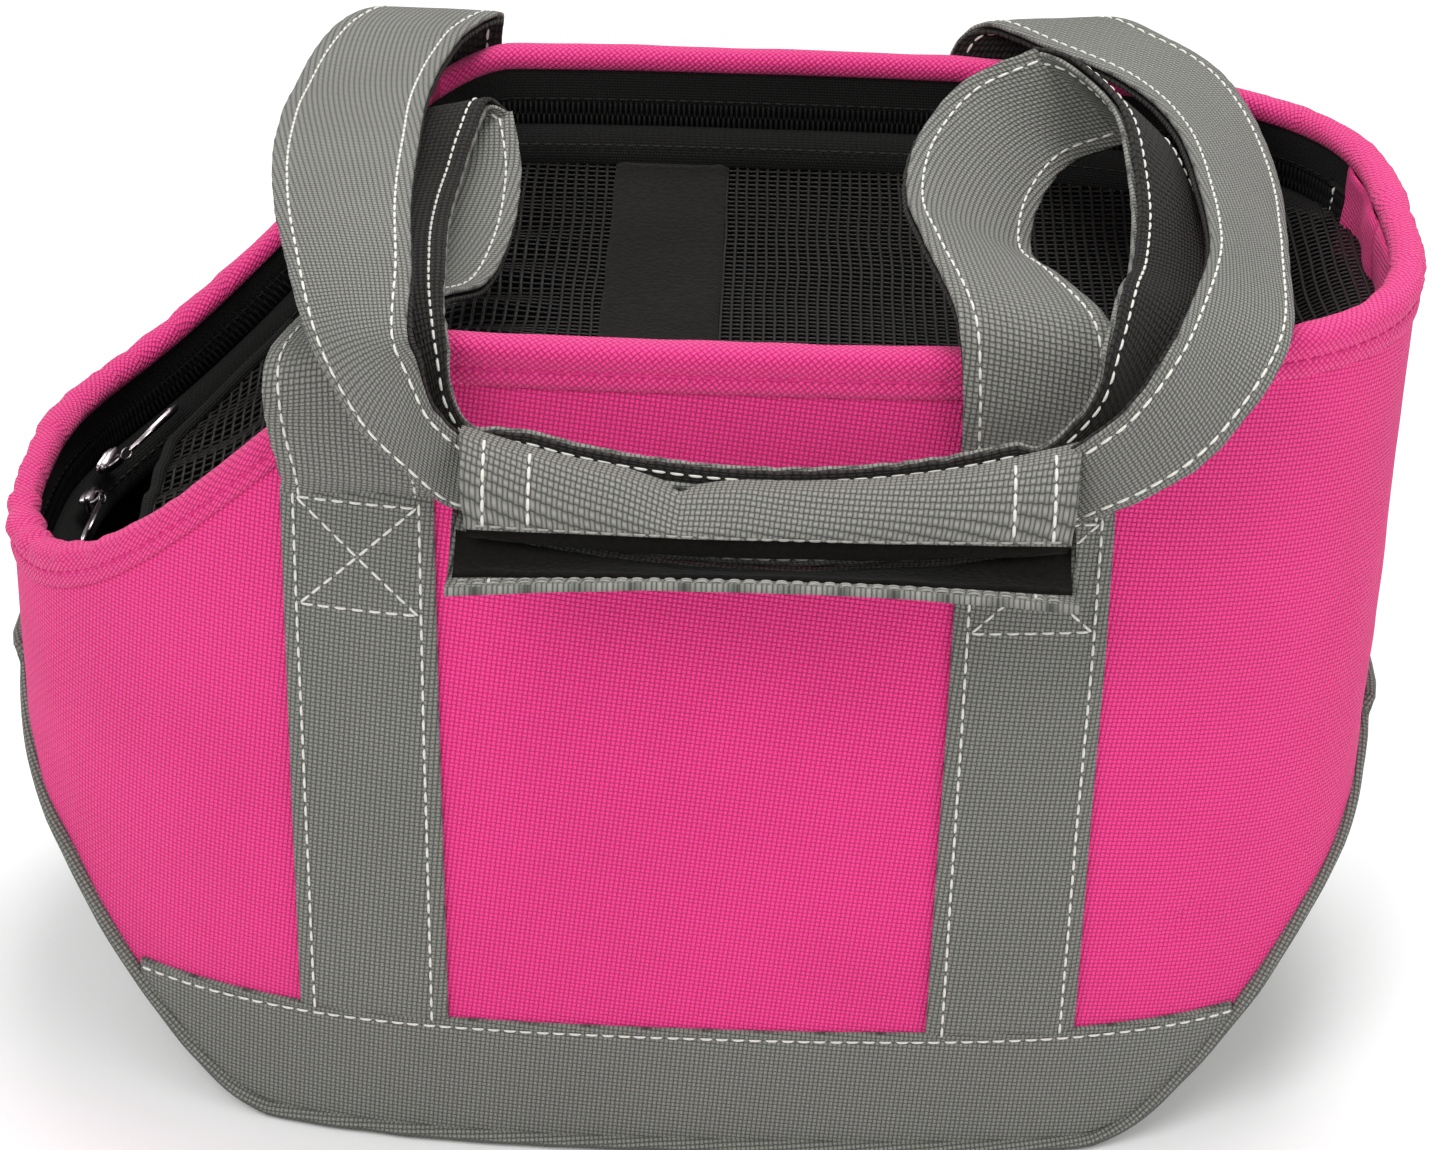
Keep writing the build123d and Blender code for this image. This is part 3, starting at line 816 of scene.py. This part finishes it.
# The front handle's legs go out from the wall to a fold, and the rest comes back to the grip.
FRONT_LEFT_OUT = [
    ((-65.5, -77.4, 154), (15, -1.3, 0)), ((-65.5, -79.9, 160), (15, -1.3, 0)),
    ((-65.6, -82.8, 165.5), (15, -1.2, 0)), ((-67, -84.8, 177), (15, 0, 1)), ((-68, -86, 188), (14, 0, 4.5)),
    ((-67, -79, 192), (14, 0, 4.5)), ((-63, -62, 190), (14, 0, 2.5)), ((-58, -42, 185), (15, 1, 1)),
    ((-55, -16, 185), (15, 2, 0)), ((-55, 12, 187.5), (15, 2, 0)), ((-57, 30, 192), (14, 2, 2)),
]
FRONT_LEFT_BACK = [
    ((-57, 30, 192), (14, 2, 2)), ((-62, 28, 195.5), (14, 1, 3)), ((-64, 13, 195), (14, 1, 2)),
    ((-65, -6, 194), (14, 1, 1.5)), ((-65, -36, 196), (14, 1, 2)), ((-63, -64, 198.5), (14, 1, 2)),
    ((-59, -81, 198.4), (11, 2, 2)), ((-53, -95, 193), (7, 1, 5)), ((-49, -99, 184), (4, 0, 6.5)),
]
FRONT_RIGHT_OUT = [
    ((68.5, -78.8, 154), (15, 1.0, 0)), ((68.4, -81.2, 160), (15, 1.0, 0)),
    ((68.3, -83.8, 165.5), (15, 0.9, 0)), ((67.6, -85.2, 176), (15, 0, 0)),
    ((67, -86.6, 188), (15, 0, -1)), ((65, -81, 200), (15, 2, -2)),
    ((58, -58, 202), (14, 2, -5)), ((54, -38, 201), (13, 2, -7)), ((57, -14, 203), (13, 0, -7)),
    ((66, 4, 207), (12, -2, -8)), ((80, 11, 211), (11, -3, -9)),
]
FRONT_RIGHT_BACK = [
    ((80, 11, 211), (11, -3, -9)), ((88, 5, 211), (11, -2, -9)), ((94, -12, 208), (8.5, 4, -10)),
    ((96, -36, 202), (9, 8, -8)), ((94, -60, 201), (9, 5, -5)), ((90, -80, 201.5), (8, -1, -6)),
    ((83, -94, 194), (4, 0, -9)), ((79, -99, 185), (3, 0, -8)),
]


STRAP_CLOTHS = {"gray": (LIT_GRAY_STRAP, "gray_fabric"), "black": (WEBBING, "black_webbing")}
# Where a strap would start to follow the handles, and where it would follow them fully, in metres. Only
# whether one is given is used: that strap is baked in place instead of moving with the handles.
HANDLE_FOLD = ((0, 0.084, 0.190), (0, 0.058, 0.204))
LEFT_LEG_FOLD = ((0, -0.080, 0.190), (0, 0.024, 0.190))
RIGHT_LEG_FOLD = ((0, -0.082, 0.190), (0, 0.006, 0.190))


def arc_height(x):
    """How much higher the grip is at x than at its middle."""
    return GRIP_RADIUS - sqrt(GRIP_RADIUS**2 - (x - GRIP_X) ** 2)


def grip_stations(y, lift=0.0):
    """The stretch of a handle folded inside the grip, from left to right."""
    result = []
    for x in range(-44, 75, 6):
        slope = (x - GRIP_X) / GRIP_RADIUS
        rise = lift * smooth((x + 44) / 12) * smooth((74 - x) / 12)
        result.append(((x, y, GRIP_Z + arc_height(x) + rise), (-7 * slope, 0, 7 * sqrt(1 - slope * slope))))
    return result


def flipped(stations):
    """The same stations from the other end, with their widths turned to match."""
    return [(m, tuple(-c for c in h)) for m, h in reversed(stations)]


def build_handles():
    """Both handles and the front one's legs. The gray face lies outside on the back handle only."""
    gray_out = {"gray": LAYER_OFFSET, "black": -LAYER_OFFSET}
    black_out = {"black": LAYER_OFFSET, "gray": -LAYER_OFFSET}
    gray_first = {"gray": -LAYER_OFFSET, "black": LAYER_OFFSET}
    back = BACK_LEFT + grip_stations(GRIP_Y - 2.25) + flipped(BACK_RIGHT)
    back_cad = {"gray": "back_handle_face", "black": "back_handle_webbing"}
    sewn_strap("back_handle", back, gray_out, back_cad, curl=0.5, seed=1.0, fold=HANDLE_FOLD)
    front = FRONT_LEFT_BACK + grip_stations(GRIP_Y + 3.65, 2.8) + flipped(FRONT_RIGHT_BACK)
    front_cad = {"gray": "front_handle_face", "black": "front_handle_webbing"}
    sewn_strap("front_handle", front, black_out, front_cad, curl=0.4, seed=2.0)
    legs = (("left", FRONT_LEFT_OUT, LEFT_LEG_FOLD), ("right", FRONT_RIGHT_OUT, RIGHT_LEG_FOLD))
    for which, stations, fold in legs:
        cad = {"gray": "front_handle_leg_" + which}
        sewn_strap("front_leg_" + which, stations, gray_first, cad, curl=0.4, seed=3.0, fold=fold)


# ---- grip wrap ----
DENT_X, DENT_REACH = -1.0, 13.0


def profile_axes(curve, j):
    """Directions along a wrap's profile and square to it, at its point j."""
    a, b = curve[max(j - 1, 0)], curve[min(j + 1, len(curve) - 1)]
    along = Vector((b.x - a.x, b.y - a.y, 0)).normalized()
    return along, Vector((-along.y, along.x, 0))


def wrap_piece(name, profile, thickness, material, body, cad, span=(-41.5, 72.5), seed=0.0, dent=0.0):
    """A piece of the wrap: a profile of (out to the front, up, share of the arc) run along X."""
    curve = catmull([Vector(p) for p in profile], 6)
    girth = run_lengths([Vector((p.x, p.y, 0)) for p in curve])
    rings, uvs = [], []
    steps = 76
    for i in range(steps + 1):
        x = span[0] + (span[1] - span[0]) * i / steps
        outer, inner = [], []
        for j, p in enumerate(curve):
            along, normal = profile_axes(curve, j)
            wave = 0.3 * drift(x * 0.07, girth[j] * 0.2, seed)
            crease = dent * p.z * max(0.0, 1 - abs(x - DENT_X) / DENT_REACH) ** 1.4
            lift = arc_height(x) * p.z - crease
            skew = (x - GRIP_X) * 0.02 * along.x
            for level, row in ((0.5, outer), (-0.5, inner)):
                q = p + normal * (level * thickness + wave)
                row.append(Vector((x + skew, GRIP_Y - q.x, GRIP_Z + q.y + lift)))
        rings.append(outer + inner[::-1])
        uvs += [(g, x) for g in girth + girth[::-1]]
    obj = closed_sweep(name, rings, material, body, uvs=uvs)
    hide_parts(cad)
    return curve


def wrap_spot(curve, j, x, thickness):
    """A point on the face of a wrap piece, and the direction out of it."""
    _, normal = profile_axes(curve, j)
    q = curve[j] + normal * (thickness / 2 + 0.1)
    spot = Vector((x, GRIP_Y - q.x, GRIP_Z + q.y + arc_height(x) * curve[j].z))
    return spot, Vector((0, -normal.x, normal.y))


def wrap_seam(curve, x, thickness, first):
    """A row of stitching across a wrap piece at x, from a share of its profile to its end."""
    count = len(curve) - 1
    return [wrap_spot(curve, j, x, thickness) for j in range(int(first * count), count + 1)]


def edge_seam(curve, share, thickness, x0, x1):
    """A row of stitching along X on a wrap piece, at a share of its profile."""
    j = int(share * (len(curve) - 1))
    return [wrap_spot(curve, j, x0 + (x1 - x0) * i / 60, thickness) for i in range(61)]


def sew_wrap(name, lines, thread, body, length, radius):
    """The finer stitching of the wrap."""
    seam = stitches(name, lines, thread, body, pitch=3.0, length=length, radius=radius)


def build_upper_flap():
    """The wrap's upper flap, with a crease in its top, its seams and its loop tape."""
    thickness, seed = 1.3, 5.0
    cloth_profile = [
        (-1.6, 8.3, 1), (1.5, 8.7, 1), (4.2, 8.6, 1), (6.8, 6.8, 0.9), (8.6, 5.0, 0.7), (9.5, 3.6, 0.35),
        (9.6, 2.3, 0.06),
    ]
    curve = wrap_piece(
        "grip_upper_cloth", cloth_profile, thickness, LIT_GRAY_STRAP, "grip_upper", "grip_upper_flap",
        seed=seed, dent=2.6,
    )
    edge = [edge_seam(curve, 0.97, thickness, -40, 71)]
    sew_wrap("grip_upper_seam", edge, GRAY_THREAD, "grip_upper", 2.3, 0.3)
    ends = [wrap_seam(curve, x, thickness, 0.25) for x in (-38.0, -29.5, 61.5, 69.0)]
    sew_wrap("grip_upper_stitching", ends, THREAD, "grip_upper", 2.5, 0.36)
    loop = [(5.7, 5.4, 0.78), (7.3, 4.1, 0.5), (8.1, 2.4, 0.28), (7.9, -0.6, 0.2), (6.9, -3.0, 0.3)]
    wrap_piece("grip_loop_tape", loop, 0.9, HOOKS, "grip_upper", "grip_loop_strip", seed=seed)


def build_lower_flap():
    """The wrap's lower flap, half open, with its seams and its hook tape."""
    thickness, seed = 1.6, 6.0
    cloth_profile = [(-1.5, -10.2, 1), (3, -9.6, 0.8), (8, -7.9, 0.3), (13, -5.6, -0.1), (18.2, -3.6, -0.25)]
    curve = wrap_piece(
        "grip_lower_cloth", cloth_profile, thickness, LIT_GRAY_STRAP, "grip_lower", "grip_lower_flap",
        (-43.5, 73.0), seed,
    )
    edges = [edge_seam(curve, share, thickness, -43, 72) for share in (0.86, 0.94)]
    sew_wrap("grip_lower_seam", edges, GRAY_THREAD, "grip_lower", 2.3, 0.34)
    ends = [wrap_seam(curve, x, thickness, 0.5) for x in (-36.5, 66.0)]
    sew_wrap("grip_lower_stitching", ends, THREAD, "grip_lower", 2.3, 0.34)
    hooks = [(4.0, -7.9, 0.67), (6.6, -7.0, 0.4), (9.8, -5.7, 0.1), (13.2, -4.2, -0.12)]
    wrap_piece(
        "grip_hook_tape", hooks, 1.0, HOOKS, "grip_lower", "grip_hook_strip", (-42.5, 72.0), seed
    )


def build_grip():
    """The grip wrap: its back on the handles, and its two flaps."""
    spine = [(-1.0, -9, 0.9), (-1.0, 0, 1), (-1.0, 7.2, 1)]
    wrap_piece("grip_back_cloth", spine, 1.2, GRAY, "handles", "grip_spine")
    build_upper_flap()
    build_lower_flap()


# ---- zip, mesh cover ----
def inner_line(inset, x_low, x_high, step=1.6):
    """Plan points inside the wall from the tail end round the head end and back to the tail."""
    raw = []
    count = 1400
    for i in range(count + 1):
        angle = 2 * pi * i / count
        p = plan_point(angle, inset)
        if x_low <= p.x <= x_high:
            raw.append(p)
    start = max(range(len(raw)), key=lambda i: (raw[i] - raw[i - 1]).length)
    raw = raw[start:] + raw[:start]
    return resample(raw, step)


def zip_strip(name, profile, cad, x_high):
    """A black tape on the inside of the wall, as a profile of (inset, drop below the rim)."""
    line = inner_line(0.0, -HALF_LENGTH - 1, x_high)
    rows = []
    for inset, drop in profile:
        ripples = [0.25 * drift(k * 0.09, inset, 2.0) for k in range(len(line))]
        rows.append([under_rim(p, inset + ripple, drop) for p, ripple in zip(line, ripples)])
    obj = grid(name, rows, BLACK, "shell", thickness=0.5)
    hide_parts(cad)


def build_zip_coil():
    """The closed coil: two rows of short bars along the zip."""
    line = inner_line(4.6, -HALF_LENGTH, 142.5, 0.62)
    sides = 6
    verts, faces, uvs = [], [], []
    for row, drop in enumerate((14.1, 17.2)):
        for k in range(row, len(line) - 1, 2):
            p, following = line[k], line[k + 1]
            level = (following - p).normalized()
            out = Vector((level.y, -level.x, 0))
            if out.dot(outward(p)) > 0:
                out = -out
            rise = (rim_z(following.x) - rim_z(p.x)) / max((following - p).length, 1e-6)
            along = Vector((level.x, level.y, rise)).normalized()
            lift = along.cross(out).normalized()
            if lift.z < 0:
                lift = -lift
            centre = Vector((p.x, p.y, rim_z(p.x) - drop)) + out * 0.3
            faces += capped_faces(4, sides, len(verts))
            for a, scale in ((-1.75, 0.55), (-1.2, 1.0), (1.2, 1.0), (1.75, 0.55)):
                verts += oval(centre + lift * a, along * (0.36 * scale), out * (0.62 * scale), sides)
                uvs += [(j / sides, a) for j in range(sides)]
    obj = make("zip_coil_teeth", verts, faces, uvs, COIL, "shell")
    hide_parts("zip_teeth")


def build_zip():
    """The zip round the opening: two tapes, the coil and the tapes' stitching."""
    upper = [(3.9, 3.8), (4.3, 6.0), (4.0, 8.5), (3.8, 11.5), (3.8, 13.6), (3.8, 20.0)]
    zip_strip("zip_tape_upper", upper, "zip_tape", 147.5)
    lower = [
        (4.2, 18.9), (5.4, 18.2), (7.2, 18.0), (9.0, 18.8), (10.6, 20.4), (11.6, 22.6), (11.9, 25.2),
        (11.0, 26.6),
    ]
    zip_strip("zip_tape_lower", lower, "cover_binding", 146.5)
    build_zip_coil()
    line = inner_line(0.0, -HALF_LENGTH, 146.0, 2.0)
    seams = ((4.0, 12.4), (11.2, 21.0))
    lines = [[(under_rim(p, inset, drop), -outward(p)) for p in line] for inset, drop in seams]
    thread = stitches("zip_tape_stitching", lines, BLACK_THREAD, "shell", length=2.0, pitch=2.8, radius=0.22)


def cover_inset_at(x):
    """How far inside the plan the mesh ends: further at the head flap, less at the tail."""
    return 11.0 + 6.5 * smooth((FLAP_HINGE + 2 - x) / 4) - 7.6 * smooth((x - 118) / 24)


def cover_z(x, y):
    """Height of the mesh: it sags between its edges and gathers where the rim slopes."""
    half = max(plan_half(x, cover_inset_at(x)), 1.0)
    across = max(0.0, 1 - (y / half) ** 2)
    ends = smooth((NET_TAIL - x) / 30) * smooth((x + 126) / 24)
    sag = 6.5 * across * ends
    slope = smooth((-25 - x) / 30)
    rise = 8.0 * smooth((x - 108) / 34)
    gather = 1.1 * slope * sin(y * 0.42 + 0.6 * sin(x * 0.06)) * across
    soft = 1.3 * drift(x * 0.02, y * 0.03, 0.3) * across
    return rim_z(x) - COVER_DROP - sag + gather + soft + rise


def net_thread(verts, faces, uvs, points, radius, sides=4):
    """One thread of the net, thicker at every second point, where it crosses another."""
    faces += capped_faces(len(points), sides, len(verts))
    for k, (p, across, lift) in enumerate(frames_along(points)):
        r = radius * (1.25 if k % 2 else 0.85)
        verts += oval(p, across * r, lift * r, sides, 0.5)
        uvs += [(k, j / sides) for j in range(sides)]


def build_net():
    """The mesh: threads across the bag, then threads along it."""
    verts, faces, uvs = [], [], []
    pitch_x, pitch_y = 2.35, 1.95
    x_low = FLAP_END - 3
    x = x_low
    while x < NET_TAIL:
        half = plan_half(x, cover_inset_at(x))
        count = max(2, int(2 * half / (pitch_y / 2)))
        line = []
        for i in range(count + 1):
            y = -half + 2 * half * i / count
            line.append(Vector((x + 0.5 * drift(x * 0.05, y * 0.06, 1), y, cover_z(x, y))))
        net_thread(verts, faces, uvs, line, 0.45)
        x += pitch_x
    columns = [x_low + i * pitch_x / 2 for i in range(int((NET_TAIL - x_low) / (pitch_x / 2)) + 1)]
    y = -70.0
    while y < 70.5:
        xs = [v for v in columns if plan_half(v, cover_inset_at(v)) > abs(y)]
        if len(xs) > 4:
            net_thread(verts, faces, uvs, [Vector((v, y, cover_z(v, y) - 0.15)) for v in xs], 0.33)
        y += pitch_y
    obj = make("mesh_net", verts, faces, uvs, NET)
    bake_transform(obj)
    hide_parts("mesh_cover", "head_flap_mesh")


def build_flap_edge():
    """The bound edge of the head flap, a soft roll round three sides."""
    points = []
    for i in range(81):
        angle = pi * (0.5 + i / 80)
        p = plan_point(angle, 17.0)
        x = max(p.x, FLAP_END - 2)
        if x < FLAP_HINGE - 6:
            points.append(Vector((x, p.y, cover_z(x, p.y * 0.999) + 1.2)))
    points = resample(points, 1.5)
    obj = tube("head_flap_edge", points, 1.5, BLACK, "head_flap", sides=10, wobble=0.25)
    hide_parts("head_flap_binding")


def build_keeper():
    """The loop tape sewn across the mesh."""
    rows, uvs = [], []
    x0, x1 = -22.0, 4.0
    half = plan_half(0, 12.0)
    for i in range(91):
        y = -half + 2 * half * i / 90
        row = []
        for j in range(15):
            x = x0 + (x1 - x0) * j / 14
            rib = 0.5 if j in (0, 14) else 1.1 if j in (1, 13) else 0.85
            row.append(Vector((x + 0.6 * drift(y * 0.05, 4.2, j * 0.02), y, cover_z(x, y) + rib)))
            uvs.append((x, y))
        rows.append(row)
    obj = grid("mesh_loop_tape", rows, HOOKS, "shell", thickness=0.5, uvs=uvs)
    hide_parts("mesh_keeper_band")


def build_zip_tabs():
    """Cloth folded over each end of the zip, with a short bar of white thread."""
    bar_x = 145.5
    tabs, bars = [], []
    for name, side in SIDES:
        rows = []
        for drop in (11.5, 12.5, 15.0, 18.0, 20.0):
            row = []
            for i in range(8):
                x = 144.0 + i * 0.5
                raised = 144.4 < x < 147.2 and 12 < drop < 19
                row.append(under_rim(wall_plan(x, side), 5.0 if raised else 4.0, drop))
            rows.append(row)
        tab = grid("zip_end_cloth_" + name, rows, BLACK, "shell", thickness=0.6, flip=side > 0)
        tabs.append(tab)
        p = wall_plan(bar_x, side)
        bars.append([(under_rim(p, 5.3, 12.0 + i * 0.9), -outward(p)) for i in range(9)])
    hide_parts("zip_end_tabs")
    thread = stitches("zip_end_bars", bars, THREAD, "shell", length=1.8, pitch=2.1, radius=0.45)


# Each slider's middle, the direction of its travel, and the direction its face looks in.
SLIDERS = {
    "back": ((-137.6, 26.0, 108.0), (0.42, 0.9, 0.15), (0.8, -0.37, 0.47)),
    "front": ((-139.2, 9.0, 107.0), (-0.03, -1.0, 0.0), (0.88, -0.03, 0.47)),
}


def slider_axes(which):
    """A slider's middle and its own directions: along its travel, across it and out of its face."""
    middle, travel, face = (Vector(v) for v in SLIDERS[which])
    travel.normalize()
    out = (face - travel * face.dot(travel)).normalized()
    return middle, travel, out.cross(travel), out


def plate(name, outline, low, high, axes, bevel=0.25):
    """A flat metal piece from an outline in the slider's own frame, with softened edges."""
    middle, travel, across, out = axes
    work = bmesh.new()
    base = [work.verts.new((middle + travel * u + across * v + out * low) * MM) for u, v in outline]
    face = work.faces.new(base)
    result = bmesh.ops.extrude_face_region(work, geom=[face])
    moved = [g for g in result["geom"] if isinstance(g, bmesh.types.BMVert)]
    bmesh.ops.translate(work, verts=moved, vec=out * (high - low) * MM)
    bmesh.ops.recalc_face_normals(work, faces=work.faces)
    bmesh.ops.bevel(work, geom=list(work.edges), offset=bevel * MM, segments=2, affect="EDGES")
    mesh = bpy.data.meshes.new(name)
    work.to_mesh(mesh)
    work.free()
    mesh.uv_layers.new(name="UVMap")
    return add_object(name, mesh, METAL)


def joined(name, parts):
    """Several objects made into one with a new name."""
    bpy.ops.object.select_all(action="DESELECT")
    for part in parts:
        part.select_set(True)
    bpy.context.view_layer.objects.active = parts[0]
    bpy.ops.object.join()
    parts[0].name = name
    parts[0].data.name = name
    return parts[0]


def build_slider(which):
    """A zip slider: two wedge plates, the post between them and the bridge for the pull."""
    axes = slider_axes(which)
    middle, travel, _, out = axes
    edge = [(-3.9, 0.9), (-2.7, 1.5), (0.6, 2.1), (3.2, 2.1), (4.1, 1.4)]
    wedge = [(u, -v) for u, v in edge] + [(2.6, 0)] + edge[::-1]
    lower = plate("slider_lower", wedge, 0.0, 0.8, axes)
    upper = plate("slider_upper", wedge, 1.5, 2.3, axes)
    post = plate("slider_post", [(-3.6, -0.7), (-1.2, -0.7), (-1.2, 0.7), (-3.6, 0.7)], 0.6, 1.7, axes, 0.1)
    arc = [pi * i / 10 for i in range(11)]
    bridge = [middle + travel * (2.7 * cos(t)) + out * (2.1 + 2.1 * sin(t)) for t in arc]
    arch = tube("slider_bridge", bridge, 0.4, METAL, sides=8)
    obj = joined("zip_slider_body_" + which, [lower, upper, post, arch])
    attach(obj, "slider_" + which)
    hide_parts("zip_slider_" + which)


def build_pull(which):
    """A zip pull: a long tab with a rib, and the ring that hangs it on the bridge."""
    axes = slider_axes(which)
    middle, travel, across, out = axes
    tab = [(3.6, -0.55), (20.5, -1.0), (23.2, -0.8), (24.0, 0), (23.2, 0.8), (20.5, 1.0), (3.6, 0.55)]
    body = plate("pull_tab", tab, 4.6, 5.5, axes, 0.3)
    rib = plate("pull_rib", [(6, -0.25), (18.5, -0.4), (18.5, 0.4), (6, 0.25)], 5.3, 5.8, axes, 0.2)
    loop = oval(middle + travel * 2.4 + out * 5.0, travel * 1.9, across * 1.1, 24)
    ring = tube("pull_ring", loop, 0.27, METAL, sides=8, loop=True)
    obj = joined("zip_pull_tab_" + which, [body, rib, ring])
    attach(obj, "pull_" + which)
    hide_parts("zip_pull_" + which)


# ---- floor pad and board ----
def pad_ring(inset, z, count=96):
    """One ring of the pad. Its crown has two quilting channels across it."""
    low_crown, channels = 9, (-30, 30)
    end = 85.5 - inset
    ring = []
    for i in range(count):
        p = plan_point(2 * pi * i / count, 7.0 + inset)
        x = min(max(p.x, -end), end)
        top = z
        if z > low_crown and inset > 2:
            top += 1.0 - 1.6 * sum(max(0.0, 1 - abs(x - c) / 5) for c in channels)
        ring.append(Vector((x, p.y, top)))
    return ring


def build_pad():
    """A crowned pad with two quilting channels, cut to the floor of the bag."""
    low, high = 6.4, 13.2
    sections = [(8, low), (2, low), (0.5, low + 1), (0, (low + high) / 2), (0.6, high - 1.3)]
    sections += [(2.5, high - 0.4), (6, high), (14, high + 0.2)]
    sections += [(inset, high + 0.3) for inset in (26, 40, 58, 72)]
    rings, uvs = [], []
    for inset, z in sections:
        ring = pad_ring(inset, z)
        rings.append(ring)
        uvs += [(p.x, p.y + z) for p in ring]
    obj = closed_sweep("quilted_pad", rings, PAD, "pad", uvs=uvs)
    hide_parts("floor_pad")


def dress_board():
    """The base board keeps its CAD shape and takes a plastic look."""
    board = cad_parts["base_board"]
    board.data.materials.clear()
    board.data.materials.append(BOARD)


# ---- studio ----
def build_stage():
    """A white floor and an even white sky."""
    half, z = 3000, -0.2
    corners = [Vector((half * a, half * b, z)) for a, b in ((-1, -1), (1, -1), (1, 1), (-1, 1))]
    mat, _, shader = new_material("studio_floor", 0.9)
    shader.inputs["Base Color"].default_value = (0.96, 0.96, 0.96, 1)
    make("studio_floor", corners, [(0, 1, 2, 3)], [(0, 0)] * 4, mat)
    world = bpy.data.worlds.new("studio")
    world.use_nodes = True
    sky = world.node_tree.nodes["Background"]
    sky.inputs[0].default_value = (1, 1, 1, 1)
    sky.inputs[1].default_value = 0.6
    bpy.context.scene.world = world
    bpy.context.scene.view_settings.view_transform = "Standard"


def area_light(name, place, size, power):
    """A round lamp that looks at the middle of the bag."""
    data = bpy.data.lights.new(name, "AREA")
    data.shape = "DISK"
    data.size = size
    data.energy = power
    lamp = bpy.data.objects.new(name, data)
    lamp.location = place
    lamp.rotation_euler = (Vector((0, 0, 0.1)) - Vector(place)).to_track_quat("-Z", "Y").to_euler()
    bpy.context.scene.collection.objects.link(lamp)


def build_lights():
    """Soft light from the front left, the right and above."""
    area_light("key", (-0.5, -0.9, 1.1), 0.8, 9.0)
    area_light("fill", (0.9, -0.8, 0.6), 1.0, 4.0)
    area_light("top", (0.1, 0.3, 1.3), 0.7, 10.0)


def build_camera():
    """The camera looks down at the front of the bag, turned slightly about its own line of sight."""
    elevation, azimuth, roll, distance = radians(29.04), radians(-0.3), radians(1.82), 0.774
    target = Vector((0.01717, -0.00106, 0.09954))
    back = Vector((sin(azimuth) * cos(elevation), -cos(azimuth) * cos(elevation), sin(elevation)))
    right = (-back).cross(UP).normalized()
    up = right.cross(-back)
    right, up = right * cos(roll) + up * sin(roll), up * cos(roll) - right * sin(roll)
    data = bpy.data.cameras.new("camera")
    data.sensor_width = 36.0
    data.lens = 85.38
    data.shift_x, data.shift_y = -0.0346, -0.0025
    camera = bpy.data.objects.new("camera", data)
    turn = Matrix((right, up, back)).transposed().to_4x4()
    camera.matrix_world = Matrix.Translation(target + back * distance) @ turn
    bpy.context.scene.collection.objects.link(camera)
    bpy.context.scene.camera = camera


build_camera()
build_lights()
build_stage()
for side_name, side_sign in SIDES:
    build_panel(side_name + "_wall", side_sign, side_name + "_panel")
build_lining()
build_gusset()
build_piping()
for side_name, side_sign in SIDES:
    cad_name = "base_band_" + side_name
    build_band(cad_name + "_cloth", side_sign, cad_name)
build_hem()
for side_name, side_sign in SIDES:
    for which, strap_x in zip(("left", "right"), STRAP_X):
        cad_name = side_name + "_strap_" + which
        build_wall_strap(cad_name + "_cloth", strap_x, side_sign, cad_name)
build_handles()
build_grip()
build_zip()
build_net()
build_flap_edge()
build_keeper()
build_zip_tabs()
for which in SLIDERS:
    build_slider(which)
    build_pull(which)
build_pad()
dress_board()
